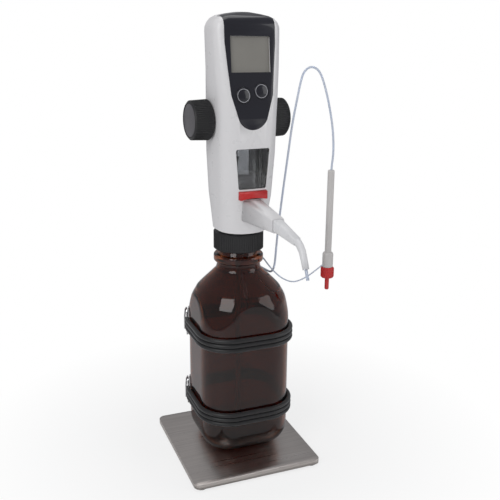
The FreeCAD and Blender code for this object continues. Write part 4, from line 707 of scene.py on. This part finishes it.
def round_piece(node, body, profile, matrix, angle=SHARP_ANGLE, steps=96):
    """A turned piece that stands for a node, put in place by a matrix."""
    mesh = turned_mesh(node + "_finish", profile, steps, closed=False)
    mesh.transform(matrix)
    smooth(mesh, angle)
    piece = new_piece(node + "_finish", mesh)
    paint(piece, finishes[slots[node]])
    stand_for(piece, body, node)


def lying_disc(side):
    """The matrix from a piece turned about Z to the hand wheel's axis on one side."""
    outward = HEAD_RIGHT * side
    centre = Vector(joints["knob_turn"]["pos_m"]) + outward * (WHEEL_START * MM)
    return Matrix.Translation(centre) @ outward.to_track_quat("Z", "Y").to_matrix().to_4x4()


def small_round_pieces():
    """The feet, the hand wheels' face discs, and the handle's rod and collar."""
    for node in ("foot_front_left", "foot_front_right", "foot_back_left", "foot_back_right"):
        low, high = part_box(node)
        centre = Matrix.Translation(((low[0] + high[0]) / 2, (low[1] + high[1]) / 2, 0))
        round_piece(node, "stand", [
            (0, 0), (FOOT_RADIUS - FOOT_BEVEL, 0), (FOOT_RADIUS - 0.2, 0.3), (FOOT_RADIUS, FOOT_BEVEL),
            (FOOT_RADIUS, FOOT_HEIGHT), (0, FOOT_HEIGHT),
        ], centre)
    for side_name, side in (("left", -1), ("right", 1)):
        start = WHEEL_LENGTH - WHEEL_SINK
        face = start + DISC_THICK
        round_piece("knob_cap_" + side_name, "drive", [
            (0, start), (WHEEL_FACE, start), (WHEEL_FACE, face - 0.35),
            (WHEEL_FACE - 0.12, face - 0.1), (WHEEL_FACE - 0.4, face), (0, face),
        ], lying_disc(side), angle=50, steps=128)
    handle = Matrix.Translation((HANDLE_X * MM, HANDLE_Y * MM, 0))
    socket = DISCHARGE_RADIUS * SOCKET_ROOM
    round_piece("handle_rod", "head", [
        (0, HANDLE_LOW), (HANDLE_RADIUS, HANDLE_LOW), (HANDLE_RADIUS, HANDLE_TOP - 1.6),
        (HANDLE_RADIUS - 0.25, HANDLE_TOP - 0.6), (HANDLE_RADIUS - 1, HANDLE_TOP), (socket, HANDLE_TOP),
        (socket, HANDLE_TOP - SOCKET_DEPTH), (0, HANDLE_TOP - SOCKET_DEPTH),
    ], handle, angle=40, steps=48)
    round_piece("handle_collar", "head", [
        (0, COLLAR_LOW), (COLLAR_RADIUS - 0.6, COLLAR_LOW), (COLLAR_RADIUS, COLLAR_LOW + 0.6),
        (COLLAR_RADIUS, HANDLE_LOW - 2.2), (COLLAR_RADIUS - 0.5, HANDLE_LOW - 0.9),
        (COLLAR_RADIUS - 1.5, HANDLE_LOW), (0, HANDLE_LOW),
    ], handle, angle=40, steps=64)


# Mounting ring
def mounting_ring():
    core = RING_RADIUS - RING_RIB
    profile = [
        (RING_HOLE, RING_LOW), (core - RING_BEVEL, RING_LOW), (core, RING_LOW + RING_BEVEL),
        (core, RING_TOP - RING_BEVEL), (core - RING_BEVEL, RING_TOP), (RING_LIP_HOLE, RING_TOP),
        (RING_LIP_HOLE, RING_TOP - RING_LIP), (RING_HOLE, RING_TOP - RING_LIP),
    ]
    base = new_piece("ring_core", turned_mesh("ring_core", profile, steps=144))
    piece = grown("mounting_ring_finish", base, RIBS, {
        "Count": RING_RIBS, "Radius": core * MM, "Rib Depth": RING_RIB * MM, "Rib Width": RING_RIB_WIDTH * MM,
        "Rib Length": (RING_TOP - RING_LOW - 2 * RING_BEVEL) * MM,
        "Middle Height": (RING_LOW + RING_TOP) / 2 * MM,
    }, finishes["ring_black"])
    stand_for(piece, "ring", "mounting_ring")


# Hand wheels
def hand_wheel(side_name, side):
    inner, outer = WHEEL_INNER - WHEEL_RIB, WHEEL_OUTER - WHEEL_RIB
    hole = WHEEL_LENGTH - WHEEL_WALL
    profile = [
        (0, hole), (SHAFT_RADIUS, hole), (SHAFT_RADIUS, 0), (inner - WHEEL_BEVEL, 0),
        (inner, WHEEL_BEVEL), (outer, WHEEL_LENGTH - WHEEL_BEVEL), (outer - WHEEL_BEVEL, WHEEL_LENGTH),
        (WHEEL_FACE, WHEEL_LENGTH), (WHEEL_FACE, WHEEL_LENGTH - WHEEL_SINK), (0, WHEEL_LENGTH - WHEEL_SINK),
    ]
    base = new_piece("wheel_core", turned_mesh("wheel_core", profile, steps=120))
    piece = grown("knob_%s_finish" % side_name, base, RIBS, {
        "Count": WHEEL_RIBS, "Radius": (inner + outer) / 2 * MM,
        "Rib Depth": WHEEL_RIB * MM, "Rib Width": WHEEL_RIB_WIDTH * MM,
        "Rib Length": (WHEEL_LENGTH - 2 * WHEEL_BEVEL) * MM, "Middle Height": WHEEL_LENGTH / 2 * MM,
        "Lean": math.atan((outer - inner) / WHEEL_LENGTH),
    }, finishes["knob_black"])
    piece.data.transform(lying_disc(side))
    stand_for(piece, "drive", "knob_" + side_name)


# Straps
def strap(name):
    """Three strands along a path once round the bottle, open where the clasp sits."""
    offset = STRAND_RADIUS + STRAP_GAP
    reach, corner = BOTTLE_HALF + offset, BOTTLE_CORNER + offset
    straight = reach - corner
    spread = CLASP_GAP / 2 / corner
    corners = [
        (-straight, straight, CLASP_TURN + spread, math.pi),
        (-straight, -straight, math.pi, 1.5 * math.pi),
        (straight, -straight, 1.5 * math.pi, 2 * math.pi),
        (straight, straight, 2 * math.pi, 2.5 * math.pi),
        (-straight, straight, 2.5 * math.pi, 2 * math.pi + CLASP_TURN - spread),
    ]
    points = []
    for x, y, begin, end in corners:
        count = max(4, round(16 * (end - begin) / (math.pi / 2)))
        for step in range(count + 1):
            angle = begin + (end - begin) * step / count
            points.append((x + corner * math.cos(angle), y + corner * math.sin(angle)))
    level = STRAP_LEVELS[name]
    line = bpy.data.curves.new(name + "_path", "CURVE")
    line.dimensions = "3D"
    run = line.splines.new("POLY")
    run.points.add(len(points) - 1)
    for point, (x, y) in zip(run.points, points):
        point.co = (x * MM, y * MM, level * MM, 1)
    base = bpy.data.objects.new(name + "_path", line)
    bpy.context.scene.collection.objects.link(base)
    piece = grown(name + "_finish", base, STRANDS, {
        "Strands": STRAP_STRANDS, "Pitch": STRAND_PITCH * MM, "Radius": STRAND_RADIUS * MM,
    }, finishes["strap_rubber"], angle=60)
    stand_for(piece, "stand", name)


# Red turning cap
def red_cap():
    core = CAP_RADIUS - CAP_RIB
    tip = CAP_LOW - STEM_HEIGHT
    top = CAP_LOW + CAP_HEIGHT
    profile = [
        (0, tip), (STEM_RADIUS * 0.8, tip), (STEM_RADIUS, tip + 1), (STEM_RADIUS, CAP_LOW),
        (core - CAP_BEVEL, CAP_LOW), (core, CAP_LOW + CAP_BEVEL), (core, top - CAP_BEVEL),
        (core - CAP_BEVEL, top), (0, top),
    ]
    base = new_piece("cap_core", turned_mesh("cap_core", profile, steps=72, closed=False))
    piece = grown("red_cap_finish", base, RIBS, {
        "Count": CAP_RIBS, "Radius": core * MM, "Rib Depth": CAP_RIB * MM, "Rib Width": CAP_RIB_WIDTH * MM,
        "Rib Length": (CAP_HEIGHT - 2 * CAP_RIB_INSET) * MM, "Middle Height": (CAP_LOW + CAP_HEIGHT / 2) * MM,
    }, finishes["signal_red"])
    piece.data.transform(Matrix.Translation((HANDLE_X * MM, HANDLE_Y * MM, 0)))
    stand_for(piece, "turning_cap", "red_cap")


bottle()
small_round_pieces()
mounting_ring()
hand_wheel("left", -1)
hand_wheel("right", 1)
strap("upper_strap")
strap("lower_strap")
red_cap()


# Flexible tubes
def flexible(name, node, route, radius, **facts):
    """A round tube along its route, which leaves the gland straight down from the route's start."""
    line = bpy.data.curves.new(name, "CURVE")
    line.dimensions = "3D"
    line.bevel_depth = radius * MM
    line.bevel_resolution = 5
    line.use_fill_caps = True
    run = line.splines.new("NURBS")
    run.points.add(len(route) - 1)
    for point, (x, y, z) in zip(run.points, route):
        point.co = (x * MM, y * MM, z * MM, 1)
    run.order_u = 3
    run.use_endpoint_u = True
    run.resolution_u = 10
    piece = bpy.data.objects.new(name, line)
    bpy.context.scene.collection.objects.link(piece)
    line.materials.append(finishes["tube_clear"])
    stand_for(piece, "head", node)


# Key outlines: a thin ring printed on the face of each key
def key_ring(name, node, body):
    low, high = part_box(node)
    centre = (Vector(low) + Vector(high)) / 2
    inward = Vector(joints[node + "_press"]["axis"]).normalized()
    face = centre - inward * (inward.dot(centre) - min(inward.dot(v.co) for v in nodes[node].data.vertices))
    profile = [(LINE_INNER, 0), (LINE_OUTER, 0), (LINE_OUTER, LINE_RISE), (LINE_INNER, LINE_RISE)]
    mesh = turned_mesh(name, profile, steps=72)
    mesh.transform(Matrix.Translation(face) @ (-inward).to_track_quat("Z", "Y").to_matrix().to_4x4())
    smooth(mesh, angle=30)
    piece = new_piece(name, mesh)
    paint(piece, key_line)
    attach(piece, body)


key_ring("key_left_line", "key_left", "left_key")
key_ring("key_right_line", "key_right", "right_key")

flexible(
    "discharge_tube_finish", "discharge_tube", DISCHARGE_ROUTE, DISCHARGE_RADIUS,
    length=0.468, far_end="object",
)
flexible("thin_line_finish", "thin_line", THIN_ROUTE, THIN_RADIUS, length=0.172, far_end="object")


# Studio: pale floor that turns into a white backdrop, and large soft lamps. Lengths are in metres.
FLOOR_HALF = 6
# The floor is lit within the first distance, and glows evenly beyond the second
SHADOW_END, BACKDROP_START = 0.12, 0.34
# Share of the glow where the shadow lies
GLOW_NEAR = 0.75
WORLD_COLOUR, WORLD_STRENGTH = (0.95, 0.96, 1.0, 1), 0.34
LAMP_AIM = (0, 0, 0.25)
# Name, place, width, height, and power in watts
LAMPS = [
    ("Key lamp", (-1.1, -0.9, 1.1), 0.9, 1.2, 10.5),
    ("Fill lamp", (1.2, -0.8, 0.7), 0.8, 1.2, 4),
    ("Top lamp", (0.1, 0.2, 1.7), 1.0, 1.0, 5),
]


def stage_floor():
    form = bmesh.new()
    bmesh.ops.create_grid(form, x_segments=1, y_segments=1, size=FLOOR_HALF)
    mesh = bpy.data.meshes.new("floor")
    form.to_mesh(mesh)
    form.free()
    floor = new_piece("floor", mesh)
    finish = Finish("Pale floor", (0.88, 0.88, 0.88), 0.6)
    glow = finish.add("ShaderNodeEmission", Strength=1.0)
    mix = finish.add("ShaderNodeMixShader")
    path = finish.add("ShaderNodeLightPath")
    # Near the object the floor shows its shadow, and further off it turns into the white background
    reach = finish.add("ShaderNodeVectorMath", operation="LENGTH")
    fade = finish.add("ShaderNodeMapRange")
    fade.inputs["From Min"].default_value = SHADOW_END
    fade.inputs["From Max"].default_value = BACKDROP_START
    fade.inputs["To Min"].default_value = GLOW_NEAR
    fade.inputs["To Max"].default_value = 1.0
    seen = finish.add("ShaderNodeMath", operation="MULTIPLY")
    output = finish.tree.nodes["Material Output"]
    finish.link(finish.place(), reach.inputs[0])
    finish.link(reach.outputs["Value"], fade.inputs["Value"])
    finish.link(path.outputs["Is Camera Ray"], seen.inputs[0])
    finish.link(fade.outputs["Result"], seen.inputs[1])
    finish.link(seen.outputs["Value"], mix.inputs["Fac"])
    finish.link(finish.surface.outputs["BSDF"], mix.inputs[1])
    finish.link(glow.outputs["Emission"], mix.inputs[2])
    finish.link(mix.outputs["Shader"], output.inputs["Surface"])
    paint(floor, finish.material)


def lamp(name, place, width, height, power):
    light = bpy.data.lights.new(name, "AREA")
    light.shape = "RECTANGLE"
    light.size, light.size_y = width, height
    light.energy = power
    holder = bpy.data.objects.new(name, light)
    bpy.context.scene.collection.objects.link(holder)
    holder.location = place
    holder.rotation_euler = (Vector(LAMP_AIM) - Vector(place)).to_track_quat("-Z", "Y").to_euler()


def world_light():
    """A soft even light, and plain white where the camera looks past the object or through its glass."""
    world = bpy.data.worlds.new("Studio")
    bpy.context.scene.world = world
    world.use_nodes = True
    tree = world.node_tree
    background = tree.nodes["Background"]
    background.inputs["Color"].default_value = WORLD_COLOUR
    background.inputs["Strength"].default_value = WORLD_STRENGTH
    seen = tree.nodes.new("ShaderNodeBackground")
    seen.inputs["Color"].default_value = (1, 1, 1, 1)
    seen.inputs["Strength"].default_value = 1.0
    path = tree.nodes.new("ShaderNodeLightPath")
    through = tree.nodes.new("ShaderNodeMath")
    through.operation = "MAXIMUM"
    tree.links.new(path.outputs["Is Camera Ray"], through.inputs[0])
    tree.links.new(path.outputs["Is Transmission Ray"], through.inputs[1])
    mix = tree.nodes.new("ShaderNodeMixShader")
    tree.links.new(through.outputs["Value"], mix.inputs["Fac"])
    tree.links.new(background.outputs["Background"], mix.inputs[1])
    tree.links.new(seen.outputs["Background"], mix.inputs[2])
    tree.links.new(mix.outputs["Shader"], tree.nodes["World Output"].inputs["Surface"])


stage_floor()
world_light()
for facts in LAMPS:
    lamp(*facts)

# Camera at the photograph's angle
CAMERA_PLACE = Vector((-0.27597, -0.73274, 0.47123))
CAMERA_AIM = Vector((0.35326, 0.89222, -0.28134))
CAMERA_UP = Vector((0.09561, 0.26472, 0.95957))
SENSOR, FOCAL_PIXELS, PHOTO_WIDTH = 36, 719.58, 500
camera_data = bpy.data.cameras.new("Camera")
camera_data.sensor_width = SENSOR
camera_data.lens = FOCAL_PIXELS * SENSOR / PHOTO_WIDTH
camera = bpy.data.objects.new("Camera", camera_data)
bpy.context.scene.collection.objects.link(camera)
right = CAMERA_AIM.cross(CAMERA_UP).normalized()
upward = right.cross(CAMERA_AIM).normalized()
camera.matrix_world = Matrix.Translation(CAMERA_PLACE) @ Matrix((
    (right.x, upward.x, -CAMERA_AIM.x, 0),
    (right.y, upward.y, -CAMERA_AIM.y, 0),
    (right.z, upward.z, -CAMERA_AIM.z, 0),
    (0, 0, 0, 1),
))
bpy.context.scene.camera = camera
bpy.context.scene.view_settings.view_transform = "Standard"
